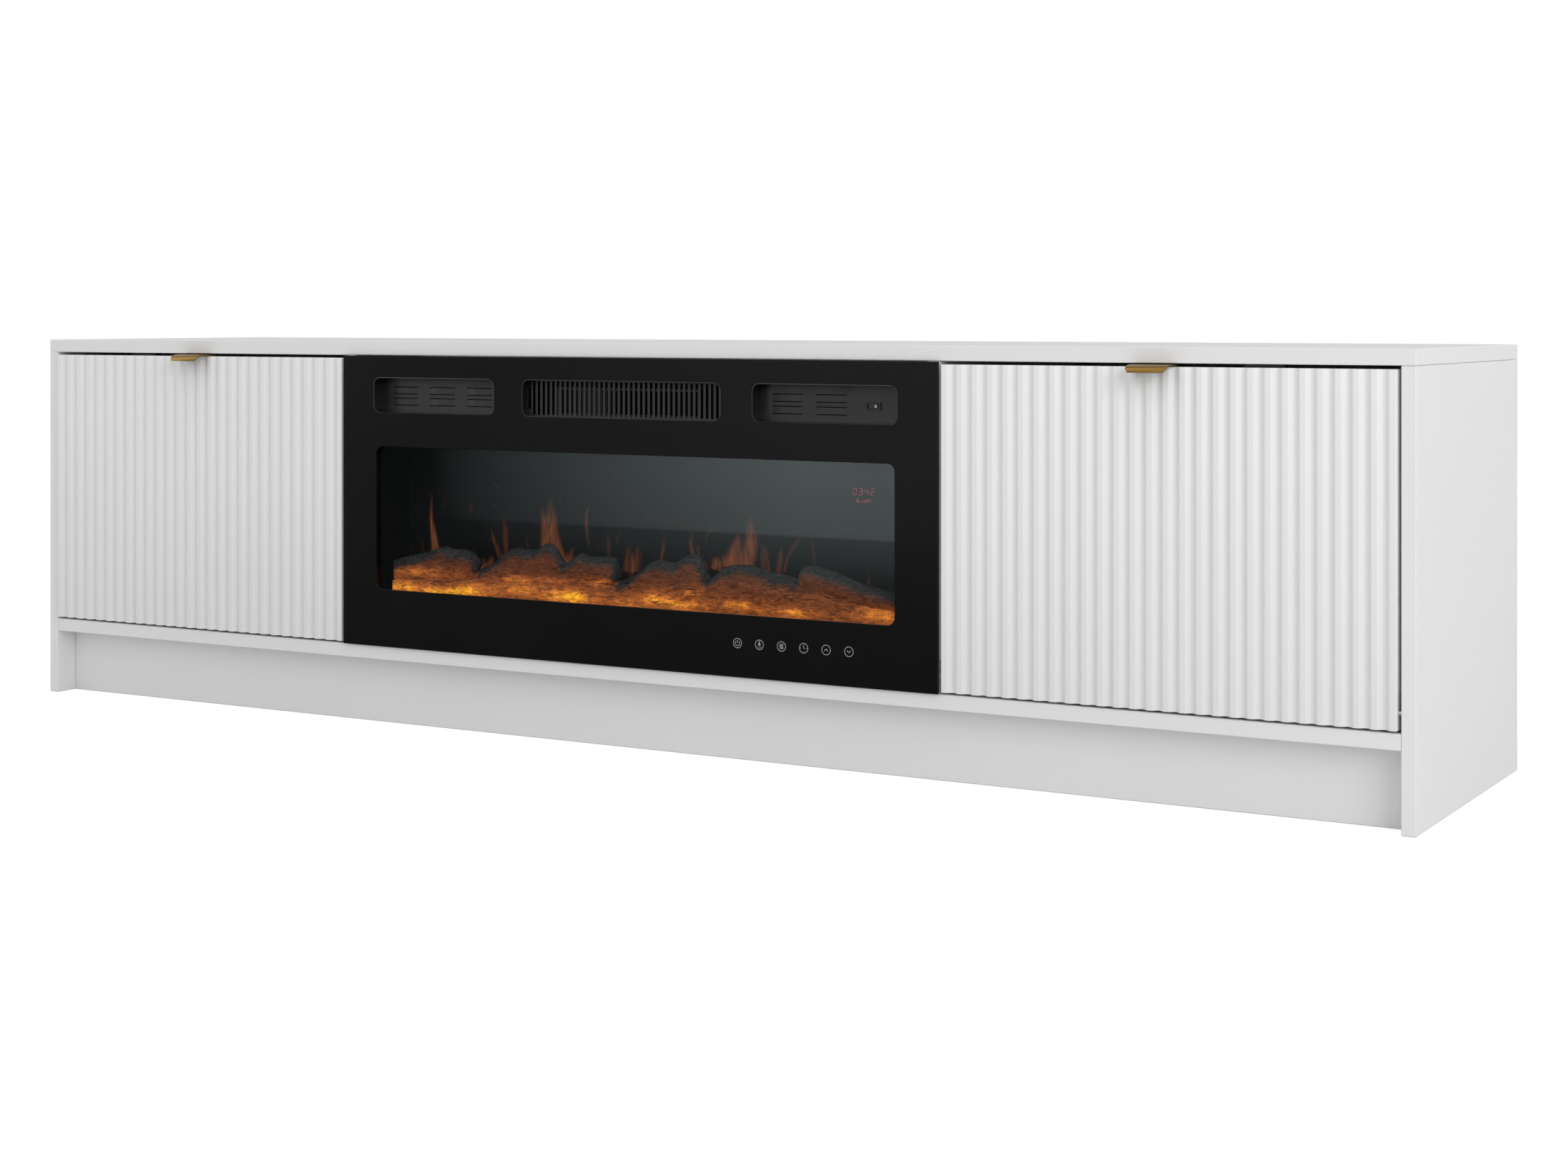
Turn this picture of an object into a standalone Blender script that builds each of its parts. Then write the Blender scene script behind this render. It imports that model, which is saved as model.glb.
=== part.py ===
"""A low media cabinet: two fluted drop-down flaps with an electric fireplace between them.

Metres, +Z up, the front towards -Y. The origin is on the floor, under the middle of the whole object.
"""

import math

import bmesh
import bpy
from mathutils import Matrix, Vector

# General
touch = 0.0003
overrun = 0.002
weld_distance = 0.00001
crease_angle = math.radians(40)

# Carcase boards
overall_width = 2.000
carcase_height = 0.512
carcase_depth = 0.440
side_thickness = 0.016
top_thickness = 0.018
bottom_thickness = 0.018
partition_thickness = 0.016
board_edge = 0.0008

# Base under the bottom board
plinth_height = 0.089
plinth_setback = 0.034
plinth_thickness = 0.016
rear_plinth_setback = 0.030

# Back
back_thickness = 0.003
back_lap_share = 0.5
cable_hole_radius = 0.030
cable_hole_height_share = 0.72
rear_rail_height = 0.070
rear_rail_thickness = 0.016

# Flaps
door_thickness = 0.018
door_proud = 0.005
door_side_gap = 0.0034
door_bezel_gap = 0.0040
door_bottom_gap = 0.003
door_top_gap = 0.004
flute_pitch = 0.0194
flute_depth = 0.0046
flute_floor = 0.003
flute_slope = 0.005
flute_margin = 0.0141
flute_rounding_share = 0.02

# Flap pulls
pull_width = 0.048
pull_reach = 0.0267
pull_thickness = 0.0022
pull_drop = 0.0087
pull_nose = 0.013
pull_corner = 0.009
pull_flange = 0.016
pull_inboard = 0.0045

# Flap pivots
pivot_inset = 0.005
pivot_rise = 0.018
pin_radius = 0.003
pin_running_clearance = 0.0001
pin_in_door = 0.014
pin_in_panel = 0.003
pivot_plate_thickness = 0.002
pivot_plate_width = 0.008
pivot_plate_length = 0.038

# Flap stays: two links that keep a parallelogram with the flap
stay_on_door_back = 0.024
stay_on_door_up = 0.160
stay_shift_back = 0.150
stay_shift_up = 0.060
stay_link_width = 0.015
stay_link_thickness = 0.003
stay_pin_radius = 0.004
stay_pin_clearance = 0.0003
stay_head_radius = 0.006
stay_head_thickness = 0.0015
stay_brake_length = 0.062
stay_brake_width = 0.034
stay_brake_thickness = 0.009
stay_foot_length = 0.046
stay_foot_width = 0.018
stay_foot_thickness = 0.0025

# Magnetic catches
catch_length = 0.046
catch_depth = 0.014
catch_height = 0.012
catch_from_pull = 0.120
strike_thickness = 0.0015
strike_height = 0.011

# Fireplace front
bezel_width = 0.888
bezel_proud = 0.005
bezel_gap = 0.0006
bezel_edge = 0.0006
window_side_margin = 0.0562
window_sill = 0.0757
window_head = 0.0451
window_corner = 0.010
pane_thickness = 0.003
pane_lap = 0.010
front_plate_thickness = 0.0015
front_plate_flange = 0.030
front_plate_clearance = 0.001

# Vents over the window
vent_height = 0.0462
vent_drop = 0.0292
vent_corner = 0.010
vent_side_margin = 0.053
vent_gap = 0.0453
side_vent_width = 0.197
side_vent_recess = 0.020
grille_recess = 0.011
tray_wall = 0.0012
louvre_length = 0.036
louvre_height = 0.0095
louvre_rise = 0.0022
louvre_ramp = 0.0044
louvre_thickness = 0.0008
louvre_pitch = 0.061
louvre_upper_drop = 0.0175
louvre_lower_drop = 0.0303
slot_pitch = 0.0074
slot_width = 0.0044
slot_margin = 0.003
grille_thickness = 0.002

# Rocker switch in the right vent
switch_width = 0.0205
switch_height = 0.0098
switch_rim = 0.0016
switch_rim_thickness = 0.0012
switch_can_depth = 0.013
switch_wall = 0.0012
switch_from_louvre = 0.057
switch_drop = 0.0250
rocker_clearance = 0.0003
rocker_pivot_depth = 0.005
rocker_body_depth = 0.006
rocker_tip_rise = 0.0014
rocker_travel = math.radians(16)

# Fireplace casing
casing_thickness = 0.0015
casing_depth = 0.150
casing_side_clearance = 0.003
casing_top_clearance = 0.004
intake_end_margin = 0.055
intake_slot_length = 0.060
intake_slot_height = 0.006
intake_slot_gap = 0.020
intake_drop = 0.045

# Firebox
liner_thickness = 0.0015
liner_side_margin = 0.0067
liner_floor_drop = 0.0173
liner_head_room = 0.0172
screen_setback = 0.073
screen_thickness = 0.003
liner_tail = 0.0165
led_board_width = 0.014
led_board_thickness = 0.0016
led_length_share = 0.94

# Log set
log_columns = 72
log_rows = 9
log_radius = 0.021
log_bed_margin = 0.004
log_step_rise = 0.023
bed_step_share = 0.40

# Flame spindle
spindle_setback = 0.122
spindle_rise = 0.052
spindle_radius = 0.002
spindle_end_room = 0.055
spindle_fin_pitch = 0.057
spindle_fin_reach = 0.014
spindle_fin_length_share = 0.72
spindle_fin_thickness = 0.0008
spindle_turn_per_fin = math.radians(50)
spindle_bearing_thickness = 0.003
spindle_bearing_width = 0.022
spindle_motor_radius = 0.018
spindle_motor_length = 0.018

# Blower
blower_setback = 0.085
impeller_radius = 0.022
impeller_end_inset = 0.0407
impeller_disc_thickness = 0.0015
blade_count = 16
blade_depth = 0.007
blade_thickness = 0.0008
blade_lean = math.radians(35)
blower_shaft_radius = 0.003
scroll_wall = 0.0012
scroll_gap = 0.004
scroll_growth = 0.008
scroll_steps = 9
scroll_end_angle = math.radians(70)
outlet_run = 0.050
outlet_top_rise = 0.010
tongue_height = 0.018
tongue_lean = 0.005
blower_end_gap = 0.004
blower_motor_radius = 0.022
blower_motor_length = 0.038
heater_depth = 0.020
heater_rim = 0.003
heater_cell_pitch = 0.0072
heater_fin_thickness = 0.0012
blower_motor_recess = 0.006

# Electronics
touch_board_width = 0.184
touch_board_height = 0.026
touch_board_thickness = 0.0015
touch_side_margin = 0.1017
touch_above_bezel = 0.0414
display_width = 0.046
display_inset = 0.0393
display_height = 0.068
display_thickness = 0.0016
gland_radius = 0.009
gland_flange = 0.004
gland_bore = 0.0035
gland_out = 0.012
gland_inboard = 0.060
gland_rise = 0.045

# Planes and levels that the pieces share
pull_front = door_proud + pull_reach
front_y = (pull_front - carcase_depth) / 2
back_y = front_y + carcase_depth
inner_x = overall_width / 2 - side_thickness
top_under = carcase_height - top_thickness
bottom_top = plinth_height + bottom_thickness
board_back_y = back_y - back_thickness - touch
partition_x = bezel_width / 2
bay_x = partition_x - partition_thickness
door_bottom = bottom_top + door_bottom_gap
door_top = top_under - door_top_gap
door_width = inner_x - partition_x - door_side_gap - door_bezel_gap
door_centre = inner_x - door_side_gap - door_width / 2
door_front_y = front_y - door_proud
door_back_y = door_front_y + door_thickness
pull_centre = door_centre - pull_inboard
hinge_y = front_y + pivot_inset
hinge_z = door_bottom + pivot_rise
bezel_front_y = front_y - bezel_proud
bezel_back_y = front_y - touch
bezel_low = bottom_top + bezel_gap
bezel_high = top_under - bezel_gap
vent_high = bezel_high - vent_drop
vent_low = vent_high - vent_height
window_width = bezel_width - 2 * window_side_margin
window_low = bezel_low + window_sill
window_high = vent_low - window_head
window_height = window_high - window_low
side_vent_centre = bezel_width / 2 - vent_side_margin - side_vent_width / 2
grille_width = 2 * (side_vent_centre - side_vent_width / 2 - vent_gap)
touch_centre = bezel_width / 2 - touch_side_margin - touch_board_width / 2
display_centre = window_width / 2 - display_inset
switch_x = side_vent_centre + switch_from_louvre
impeller_length = grille_width - 2 * impeller_end_inset
vent_middle = (vent_high + vent_low) / 2
plate_back_y = front_y + front_plate_thickness
casing_x = bay_x - casing_side_clearance
casing_low = bottom_top + touch
casing_high = top_under - casing_top_clearance
casing_front_y = plate_back_y + touch
casing_back_y = front_y + casing_depth
liner_x = window_width / 2 + liner_side_margin
liner_low = window_low - liner_floor_drop
liner_high = window_high + liner_head_room
screen_y = front_y + screen_setback
blower_y = front_y + blower_setback
blower_z = vent_middle + scroll_gap
spindle_y = front_y + spindle_setback
spindle_z = casing_low + casing_thickness + spindle_rise
spindle_length = 2 * (casing_x - spindle_end_room)

WHITE = ((0.78, 0.78, 0.77), 0.45, 0.0)
BOARD_BACK = ((0.72, 0.71, 0.69), 0.70, 0.0)
GOLD = ((0.80, 0.58, 0.26), 0.30, 1.0)
STEEL = ((0.62, 0.62, 0.63), 0.35, 1.0)
BLACK_GLASS = ((0.012, 0.012, 0.013), 0.08, 0.0)
BLACK_METAL = ((0.02, 0.02, 0.021), 0.55, 0.0)
BLACK_PLASTIC = ((0.025, 0.025, 0.026), 0.45, 0.0)
CLEAR_GLASS = ((0.60, 0.66, 0.67), 0.03, 0.0)
SMOKED = ((0.05, 0.055, 0.06), 0.20, 0.0)
ALUMINIUM = ((0.70, 0.70, 0.72), 0.35, 1.0)
RESIN_LOG = ((0.30, 0.13, 0.05), 0.80, 0.0)
BOARD_GREEN = ((0.03, 0.12, 0.05), 0.55, 0.0)

PLANES = {
    "front": Matrix(((1, 0, 0), (0, 0, -1), (0, 1, 0))),
    "side": Matrix(((0, 0, 1), (1, 0, 0), (0, 1, 0))),
    "plan": Matrix.Identity(3),
}


def clear_scene():
    for item in list(bpy.data.objects):
        bpy.data.objects.remove(item, do_unlink=True)


def new_collection(name, hidden):
    collection = bpy.data.collections.new(name)
    collection.hide_render = hidden
    bpy.context.scene.collection.children.link(collection)
    return collection


clear_scene()
parts = new_collection("media_cabinet", False)
cutters = new_collection("cutters", True)


def dress(item, finish):
    """Gives the piece its own material."""
    colour, roughness, metallic = finish
    material = bpy.data.materials.new(item.name)
    material.use_nodes = True
    shader = material.node_tree.nodes["Principled BSDF"]
    shader.inputs["Base Color"].default_value = (*colour, 1)
    shader.inputs["Roughness"].default_value = roughness
    shader.inputs["Metallic"].default_value = metallic
    item.data.materials.append(material)


def place(name, mesh, location, finish):
    """Links a mesh as a piece, or as a cutter when it has no finish."""
    item = bpy.data.objects.new(name, mesh)
    item.location = location
    if finish is None:
        cutters.objects.link(item)
        item.hide_render = True
        item.display_type = "WIRE"
    else:
        parts.objects.link(item)
        dress(item, finish)
    return item


def block(name, low, high, finish=None):
    """A box between two corners."""
    low, high = Vector(low), Vector(high)
    mesh = bpy.data.meshes.new(name)
    shape = bmesh.new()
    bmesh.ops.create_cube(shape, size=1)
    bmesh.ops.scale(shape, vec=high - low, verts=shape.verts)
    shape.to_mesh(mesh)
    shape.free()
    return place(name, mesh, (low + high) / 2, finish)


def rod(name, radius, start, end, finish=None, sides=16):
    """A round bar from one point to another."""
    start, end = Vector(start), Vector(end)
    along = end - start
    mesh = bpy.data.meshes.new(name)
    shape = bmesh.new()
    bmesh.ops.create_cone(
        shape, cap_ends=True, segments=sides, radius1=radius, radius2=radius, depth=along.length
    )
    turn = along.to_track_quat("Z", "Y").to_matrix()
    bmesh.ops.rotate(shape, matrix=turn, verts=shape.verts)
    shape.to_mesh(mesh)
    shape.free()
    mesh.shade_smooth()
    mesh.set_sharp_from_angle(angle=crease_angle)
    return place(name, mesh, (start + end) / 2, finish)


def slab(name, outlines, plane, near, far, finish=None, pivot=(0, 0)):
    """Flat outlines, the later ones as holes, drawn in a plane and thickened from near to far."""
    curve = bpy.data.curves.new(name, "CURVE")
    curve.dimensions = "2D"
    curve.fill_mode = "BOTH"
    curve.extrude = abs(far - near) / 2
    for outline in outlines:
        spline = curve.splines.new("POLY")
        spline.points.add(len(outline) - 1)
        for point, (across, up) in zip(spline.points, outline):
            point.co = (across - pivot[0], up - pivot[1], 0, 1)
        spline.use_cyclic_u = True
    drawn = bpy.data.objects.new(name + "_outline", curve)
    mesh = bpy.data.meshes.new_from_object(drawn)
    bpy.data.objects.remove(drawn)
    bpy.data.curves.remove(curve)
    shape = bmesh.new()
    shape.from_mesh(mesh)
    bmesh.ops.remove_doubles(shape, verts=shape.verts, dist=weld_distance)
    bmesh.ops.dissolve_degenerate(shape, edges=shape.edges, dist=weld_distance)
    bmesh.ops.rotate(shape, matrix=PLANES[plane], verts=shape.verts)
    bmesh.ops.recalc_face_normals(shape, faces=shape.faces)
    shape.to_mesh(mesh)
    shape.free()
    mesh.name = name
    middle = (near + far) / 2
    across, up = pivot
    location = {
        "front": (across, middle, up),
        "side": (middle, across, up),
        "plan": (across, up, middle),
    }[plane]
    return place(name, mesh, location, finish)


def combine(item, other, operation):
    modifier = item.modifiers.new(other.name, "BOOLEAN")
    modifier.operation = operation
    modifier.solver = "EXACT"
    modifier.object = other


def cut(item, *others):
    for other in others:
        combine(item, other, "DIFFERENCE")


def join(item, *others):
    for other in others:
        combine(item, other, "UNION")


def soften(item, width, segments=1):
    bevel = item.modifiers.new("eased_edges", "BEVEL")
    bevel.width = width
    bevel.segments = segments
    bevel.limit_method = "ANGLE"
    bevel.angle_limit = crease_angle


def axis_empty(name, location):
    empty = bpy.data.objects.new(name, None)
    empty.location = location
    parts.objects.link(empty)
    return empty


def hang(empty, *items):
    """Parents pieces to the empty on their joint's axis, where they stand."""
    for item in items:
        item.location = item.location - empty.location
        item.parent = empty


def arc(centre, radius, start, end, steps):
    """Points on an arc, whose radius may be one value or two."""
    across, up = radius if isinstance(radius, tuple) else (radius, radius)
    angles = [start + (end - start) * step / steps for step in range(steps + 1)]
    return [(centre[0] + across * math.cos(a), centre[1] + up * math.sin(a)) for a in angles]


def rounded_box(low, high, radius, steps=3):
    """A rectangle with round corners, as an outline."""
    quarter = math.pi / 2
    corners = (
        ((high[0] - radius, low[1] + radius), -quarter),
        ((high[0] - radius, high[1] - radius), 0),
        ((low[0] + radius, high[1] - radius), quarter),
        ((low[0] + radius, low[1] + radius), 2 * quarter),
    )
    points = []
    for centre, start in corners:
        points += arc(centre, radius, start, start + quarter, steps)
    return points


def box_outline(low, high):
    return [low, (high[0], low[1]), high, (low[0], high[1])]


def stadium(start, end, width, steps=5):
    """A bar with round ends, as an outline."""
    angle = math.atan2(end[1] - start[1], end[0] - start[0])
    half = math.pi / 2
    return arc(end, width / 2, angle - half, angle + half, steps) + arc(
        start, width / 2, angle + half, angle + 3 * half, steps
    )


def ribbon(path, thickness):
    """The outline of a bent sheet that has the path as its middle line."""
    sides = ([], [])
    for index, point in enumerate(path):
        before = Vector(path[max(index - 1, 0)])
        after = Vector(path[min(index + 1, len(path) - 1)])
        along = (after - before).normalized()
        normal = Vector((-along.y, along.x)) * thickness / 2
        sides[0].append(tuple(Vector(point) + normal))
        sides[1].append(tuple(Vector(point) - normal))
    return sides[0] + sides[1][::-1]


def spread(side, near, far):
    """The low and high X of something that lies between two distances from the middle plane."""
    return tuple(sorted((side * near, side * far)))


SIDES = (("left", -1), ("right", 1))


def build_boards():
    top = block(
        "top_panel",
        (-overall_width / 2, front_y, top_under),
        (overall_width / 2, back_y, carcase_height),
        WHITE,
    )
    bottom = block(
        "bottom_panel",
        (touch - inner_x, front_y, plinth_height),
        (inner_x - touch, board_back_y, bottom_top),
        WHITE,
    )
    soften(top, board_edge)
    soften(bottom, board_edge)


def pivot_mortise(name, side, face_x, into_board):
    """The shallow recess for a pivot plate and the hole behind it for the pin's end."""
    plate_end = face_x + into_board * (pivot_plate_thickness + touch)
    low_x, high_x = spread(side, face_x - into_board * overrun, plate_end)
    half_width = pivot_plate_width / 2 + touch
    half_length = pivot_plate_length / 2 + touch
    recess = block(
        name + "_recess",
        (low_x, hinge_y - half_width, hinge_z - half_length),
        (high_x, hinge_y + half_width, hinge_z + half_length),
    )
    bore_end = plate_end + into_board * (pin_in_panel + touch)
    bore = rod(
        name + "_bore",
        pin_radius + touch,
        (side * face_x, hinge_y, hinge_z),
        (side * bore_end, hinge_y, hinge_z),
    )
    return recess, bore


def build_uprights(hand, side):
    low_x, high_x = spread(side, inner_x, overall_width / 2)
    panel = block(
        hand + "_side_panel", (low_x, front_y, 0), (high_x, back_y, top_under - touch), WHITE
    )
    soften(panel, board_edge)
    cut(panel, *pivot_mortise(hand + "_side_pivot", side, inner_x, 1))
    low_x, high_x = spread(side, bay_x, partition_x)
    partition = block(
        hand + "_partition",
        (low_x, front_y, bottom_top + touch),
        (high_x, board_back_y, top_under - touch),
        WHITE,
    )
    soften(partition, board_edge)
    cut(partition, *pivot_mortise(hand + "_partition_pivot", side, partition_x, -1))


def build_base():
    length = inner_x - touch
    high = plinth_height - touch
    front_low = front_y + plinth_setback
    rear_high = board_back_y - rear_plinth_setback
    front = block(
        "front_plinth", (-length, front_low, 0), (length, front_low + plinth_thickness, high), WHITE
    )
    rear = block(
        "rear_plinth", (-length, rear_high - plinth_thickness, 0), (length, rear_high, high), WHITE
    )
    centre = block(
        "centre_plinth",
        (-plinth_thickness / 2, front_low + plinth_thickness + touch, 0),
        (plinth_thickness / 2, rear_high - plinth_thickness - touch, high),
        WHITE,
    )
    for item in (front, rear, centre):
        soften(item, board_edge)


def build_back(hand, side):
    """The thin back of one compartment, with its cable hole."""
    near = partition_x - partition_thickness * back_lap_share
    low_x, high_x = spread(side, near, inner_x - touch)
    low, high = plinth_height, top_under - touch
    centre = ((low_x + high_x) / 2, low + (high - low) * cable_hole_height_share)
    outlines = [
        box_outline((low_x, low), (high_x, high)),
        arc(centre, cable_hole_radius, 0, 2 * math.pi, 24)[:-1],
    ]
    slab(hand + "_back_panel", outlines, "front", back_y - back_thickness, back_y, BOARD_BACK)


def build_rear_rail():
    rail = block(
        "rear_rail",
        (touch - bay_x, board_back_y - rear_rail_thickness, top_under - touch - rear_rail_height),
        (bay_x - touch, board_back_y, top_under - touch),
        WHITE,
    )
    soften(rail, board_edge)


def fluted_outline():
    """The flap in plan, about its own middle: flat back, and flutes between ridges on the front."""
    count = math.floor((door_width - 2 * flute_margin) / flute_pitch + flute_rounding_share) + 1
    half = door_width / 2
    front = [(-half, 0)]
    for index in range(count):
        centre = (index - (count - 1) / 2) * flute_pitch
        near, far = flute_floor / 2, flute_floor / 2 + flute_slope
        front += [
            (centre - far, 0),
            (centre - near, flute_depth),
            (centre + near, flute_depth),
            (centre + far, 0),
        ]
    front.append((half, 0))
    return front + [(half, door_thickness), (-half, door_thickness)]


def build_door(hand, side):
    outline = [(side * door_centre + across, door_front_y + back) for across, back in fluted_outline()]
    door = slab(hand + "_door", [outline], "plan", door_bottom, door_top, WHITE)
    for end, name in ((1, "outer"), (-1, "inner")):
        edge = side * door_centre + side * end * door_width / 2
        inside = edge - side * end * (pin_in_door + touch)
        hole = rod(
            f"{hand}_{name}_pin_hole",
            pin_radius + touch,
            (edge + side * end * overrun, hinge_y, hinge_z),
            (inside, hinge_y, hinge_z),
        )
        cut(door, hole)
    return door


def pull_profile():
    """The pull in side view, from the door's front face and top edge."""
    over = door_top + touch
    top = over + pull_thickness
    front, rear = door_front_y, door_back_y + touch
    nose = (front - pull_reach + pull_nose, top - pull_drop)
    quarter = math.pi / 2
    outer = arc(nose, (pull_nose, pull_drop), quarter, 2 * quarter, 8)
    inner_radii = (pull_nose - pull_thickness, pull_drop - pull_thickness)
    inner = arc(nose, inner_radii, 2 * quarter, quarter, 8)
    flange_low = door_top - pull_flange
    return (
        [(rear + pull_thickness, flange_low), (rear + pull_thickness, top)]
        + outer
        + inner
        + [(rear, over), (rear, flange_low)]
    )


def build_pull(hand, side):
    middle = side * pull_centre
    low_x, high_x = middle - pull_width / 2, middle + pull_width / 2
    pull = slab(hand + "_handle", [pull_profile()], "side", low_x, high_x, GOLD)
    front = door_front_y - pull_reach
    rear = door_back_y + pull_thickness + overrun
    quarter = math.pi / 2
    plan = (
        [(high_x, rear), (low_x, rear)]
        + arc((low_x + pull_corner, front + pull_corner), pull_corner, 2 * quarter, 3 * quarter, 6)
        + arc((high_x - pull_corner, front + pull_corner), pull_corner, 3 * quarter, 4 * quarter, 6)
    )
    trim = slab(
        hand + "_handle_trim", [plan], "plan", door_top - pull_flange - overrun, top_under + overrun
    )
    combine(pull, trim, "INTERSECT")
    return pull


def build_pivots(hand, side):
    """Two pins in the flap's ends and the plates in the boards that they turn in."""
    pins = []
    ends = (("outer", inner_x, 1, door_side_gap), ("inner", partition_x, -1, door_bezel_gap))
    for name, face, outward, gap in ends:
        inside = face - outward * (gap + pin_in_door)
        outside = face + outward * (pivot_plate_thickness + touch + pin_in_panel)
        pin = rod(
            f"{hand}_{name}_pin",
            pin_radius,
            (side * inside, hinge_y, hinge_z),
            (side * outside, hinge_y, hinge_z),
            STEEL,
        )
        pins.append(pin)
        centre = (hinge_y, hinge_z)
        half_width, half_length = pivot_plate_width / 2, pivot_plate_length / 2
        plate = rounded_box(
            (hinge_y - half_width, hinge_z - half_length),
            (hinge_y + half_width, hinge_z + half_length),
            half_width / 2,
        )
        hole = arc(centre, pin_radius + pin_running_clearance, 0, 2 * math.pi, 16)[:-1]
        far = face + outward * pivot_plate_thickness
        slab(f"{hand}_{name}_pivot_plate", [plate, hole], "side", side * face, side * far, STEEL)
    return pins


def build_stay(hand, side):
    """Brake on the side panel, arm, link and flap bracket, in layers inwards from the panel."""
    on_door = (hinge_y + stay_on_door_back, hinge_z + stay_on_door_up)
    on_brake = (hinge_y + stay_shift_back, hinge_z + stay_shift_up)
    elbow = (on_door[0] + stay_shift_back, on_door[1] + stay_shift_up)
    brake_in = inner_x - touch - stay_brake_thickness
    arm_out, arm_in = brake_in - touch, brake_in - touch - stay_link_thickness
    link_out, link_in = arm_in - touch, arm_in - touch - stay_link_thickness
    foot_out, foot_in = link_in - touch, link_in - touch - stay_link_thickness
    hole_radius = stay_pin_radius + stay_pin_clearance

    def ring(centre):
        return arc(centre, hole_radius, 0, 2 * math.pi, 12)[:-1]

    def stub(name, centre, near, far, radius):
        return rod(
            f"{hand}_{name}", radius, (side * near, *centre), (side * far, *centre), sides=12
        )

    half_length, half_width = stay_brake_length / 2, stay_brake_width / 2
    brake = slab(
        hand + "_stay_brake",
        [
            rounded_box(
                (on_brake[0] - half_width, on_brake[1] - half_length),
                (on_brake[0] + half_width, on_brake[1] + half_length),
                half_width / 2,
            )
        ],
        "side",
        side * (inner_x - touch),
        side * brake_in,
        STEEL,
    )
    head = arm_in - touch
    join(
        brake,
        stub("brake_pin", on_brake, brake_in + overrun, head - stay_head_thickness, stay_pin_radius),
        stub("brake_head", on_brake, head, head - stay_head_thickness, stay_head_radius),
    )
    arm = slab(
        hand + "_stay_arm",
        [stadium(on_brake, elbow, stay_link_width), ring(on_brake)],
        "side",
        side * arm_out,
        side * arm_in,
        STEEL,
        pivot=on_brake,
    )
    elbow_head = link_in - touch
    join(
        arm,
        stub("elbow_pin", elbow, arm_out, elbow_head - stay_head_thickness, stay_pin_radius),
        stub("elbow_head", elbow, elbow_head, elbow_head - stay_head_thickness, stay_head_radius),
    )
    link = slab(
        hand + "_stay_link",
        [stadium(on_door, elbow, stay_link_width), ring(on_door), ring(elbow)],
        "side",
        side * link_out,
        side * link_in,
        STEEL,
        pivot=on_door,
    )
    back = door_back_y + touch
    foot_back = back + stay_foot_thickness
    half_foot = stay_foot_length / 2
    bracket = block(
        hand + "_stay_bracket",
        (spread(side, foot_out - stay_foot_width, foot_out)[0], back, on_door[1] - half_foot),
        (spread(side, foot_out - stay_foot_width, foot_out)[1], foot_back, on_door[1] + half_foot),
        STEEL,
    )
    ear = slab(
        hand + "_bracket_ear",
        [
            box_outline(
                (back + touch, on_door[1] - stay_link_width / 2),
                (on_door[0], on_door[1] + stay_link_width / 2),
            )
        ],
        "side",
        side * foot_out,
        side * foot_in,
    )
    eye = stub("bracket_eye", on_door, foot_out, foot_in, stay_link_width / 2)
    pin_end = link_out + touch
    join(
        bracket,
        ear,
        eye,
        stub("bracket_pin", on_door, foot_in, pin_end + stay_head_thickness, stay_pin_radius),
        stub("bracket_head", on_door, pin_end, pin_end + stay_head_thickness, stay_head_radius),
    )
    return arm, link, bracket, on_brake, on_door


def build_catch(hand, side):
    """Magnet under the top board and its steel strike on the flap."""
    middle = side * (pull_centre + catch_from_pull)
    low_x, high_x = middle - catch_length / 2, middle + catch_length / 2
    strike_back = door_back_y + touch + strike_thickness
    high = top_under - touch
    magnet = block(
        hand + "_catch",
        (low_x, strike_back + touch, high - catch_height),
        (high_x, strike_back + touch + catch_depth, high),
        BLACK_PLASTIC,
    )
    soften(magnet, board_edge)
    strike = block(
        hand + "_strike",
        (low_x, door_back_y + touch, door_top - strike_height),
        (high_x, strike_back, door_top - touch),
        STEEL,
    )
    return strike


def build_flap(hand, side):
    door = build_door(hand, side)
    pull = build_pull(hand, side)
    pins = build_pivots(hand, side)
    arm, link, bracket, on_brake, on_door = build_stay(hand, side)
    strike = build_catch(hand, side)
    axis = axis_empty(hand + "_door_axis", (side * door_centre, hinge_y, hinge_z))
    hang(axis, door, pull, bracket, strike, *pins)
    brake_axis = axis_empty(hand + "_stay_arm_axis", (arm.location.x, *on_brake))
    hang(brake_axis, arm)
    link_axis = axis_empty(hand + "_stay_link_axis", (link.location.x, *on_door))
    hang(link_axis, link)


def window_outline(grow=0):
    half = window_width / 2 + grow
    return rounded_box((-half, window_low - grow), (half, window_high + grow), window_corner + grow)


def vent_outline(centre, width, grow=0):
    half = width / 2 + grow
    return rounded_box(
        (centre - half, vent_low - grow), (centre + half, vent_high + grow), vent_corner + grow
    )


def all_vents(grow=0):
    return [
        vent_outline(-side_vent_centre, side_vent_width, grow),
        vent_outline(0, grille_width, grow),
        vent_outline(side_vent_centre, side_vent_width, grow),
    ]


def touch_outline(grow=0):
    half = touch_board_width / 2 + grow
    middle = bezel_low + touch_above_bezel
    high = touch_board_height / 2 + grow
    return box_outline((touch_centre - half, middle - high), (touch_centre + half, middle + high))


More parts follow.
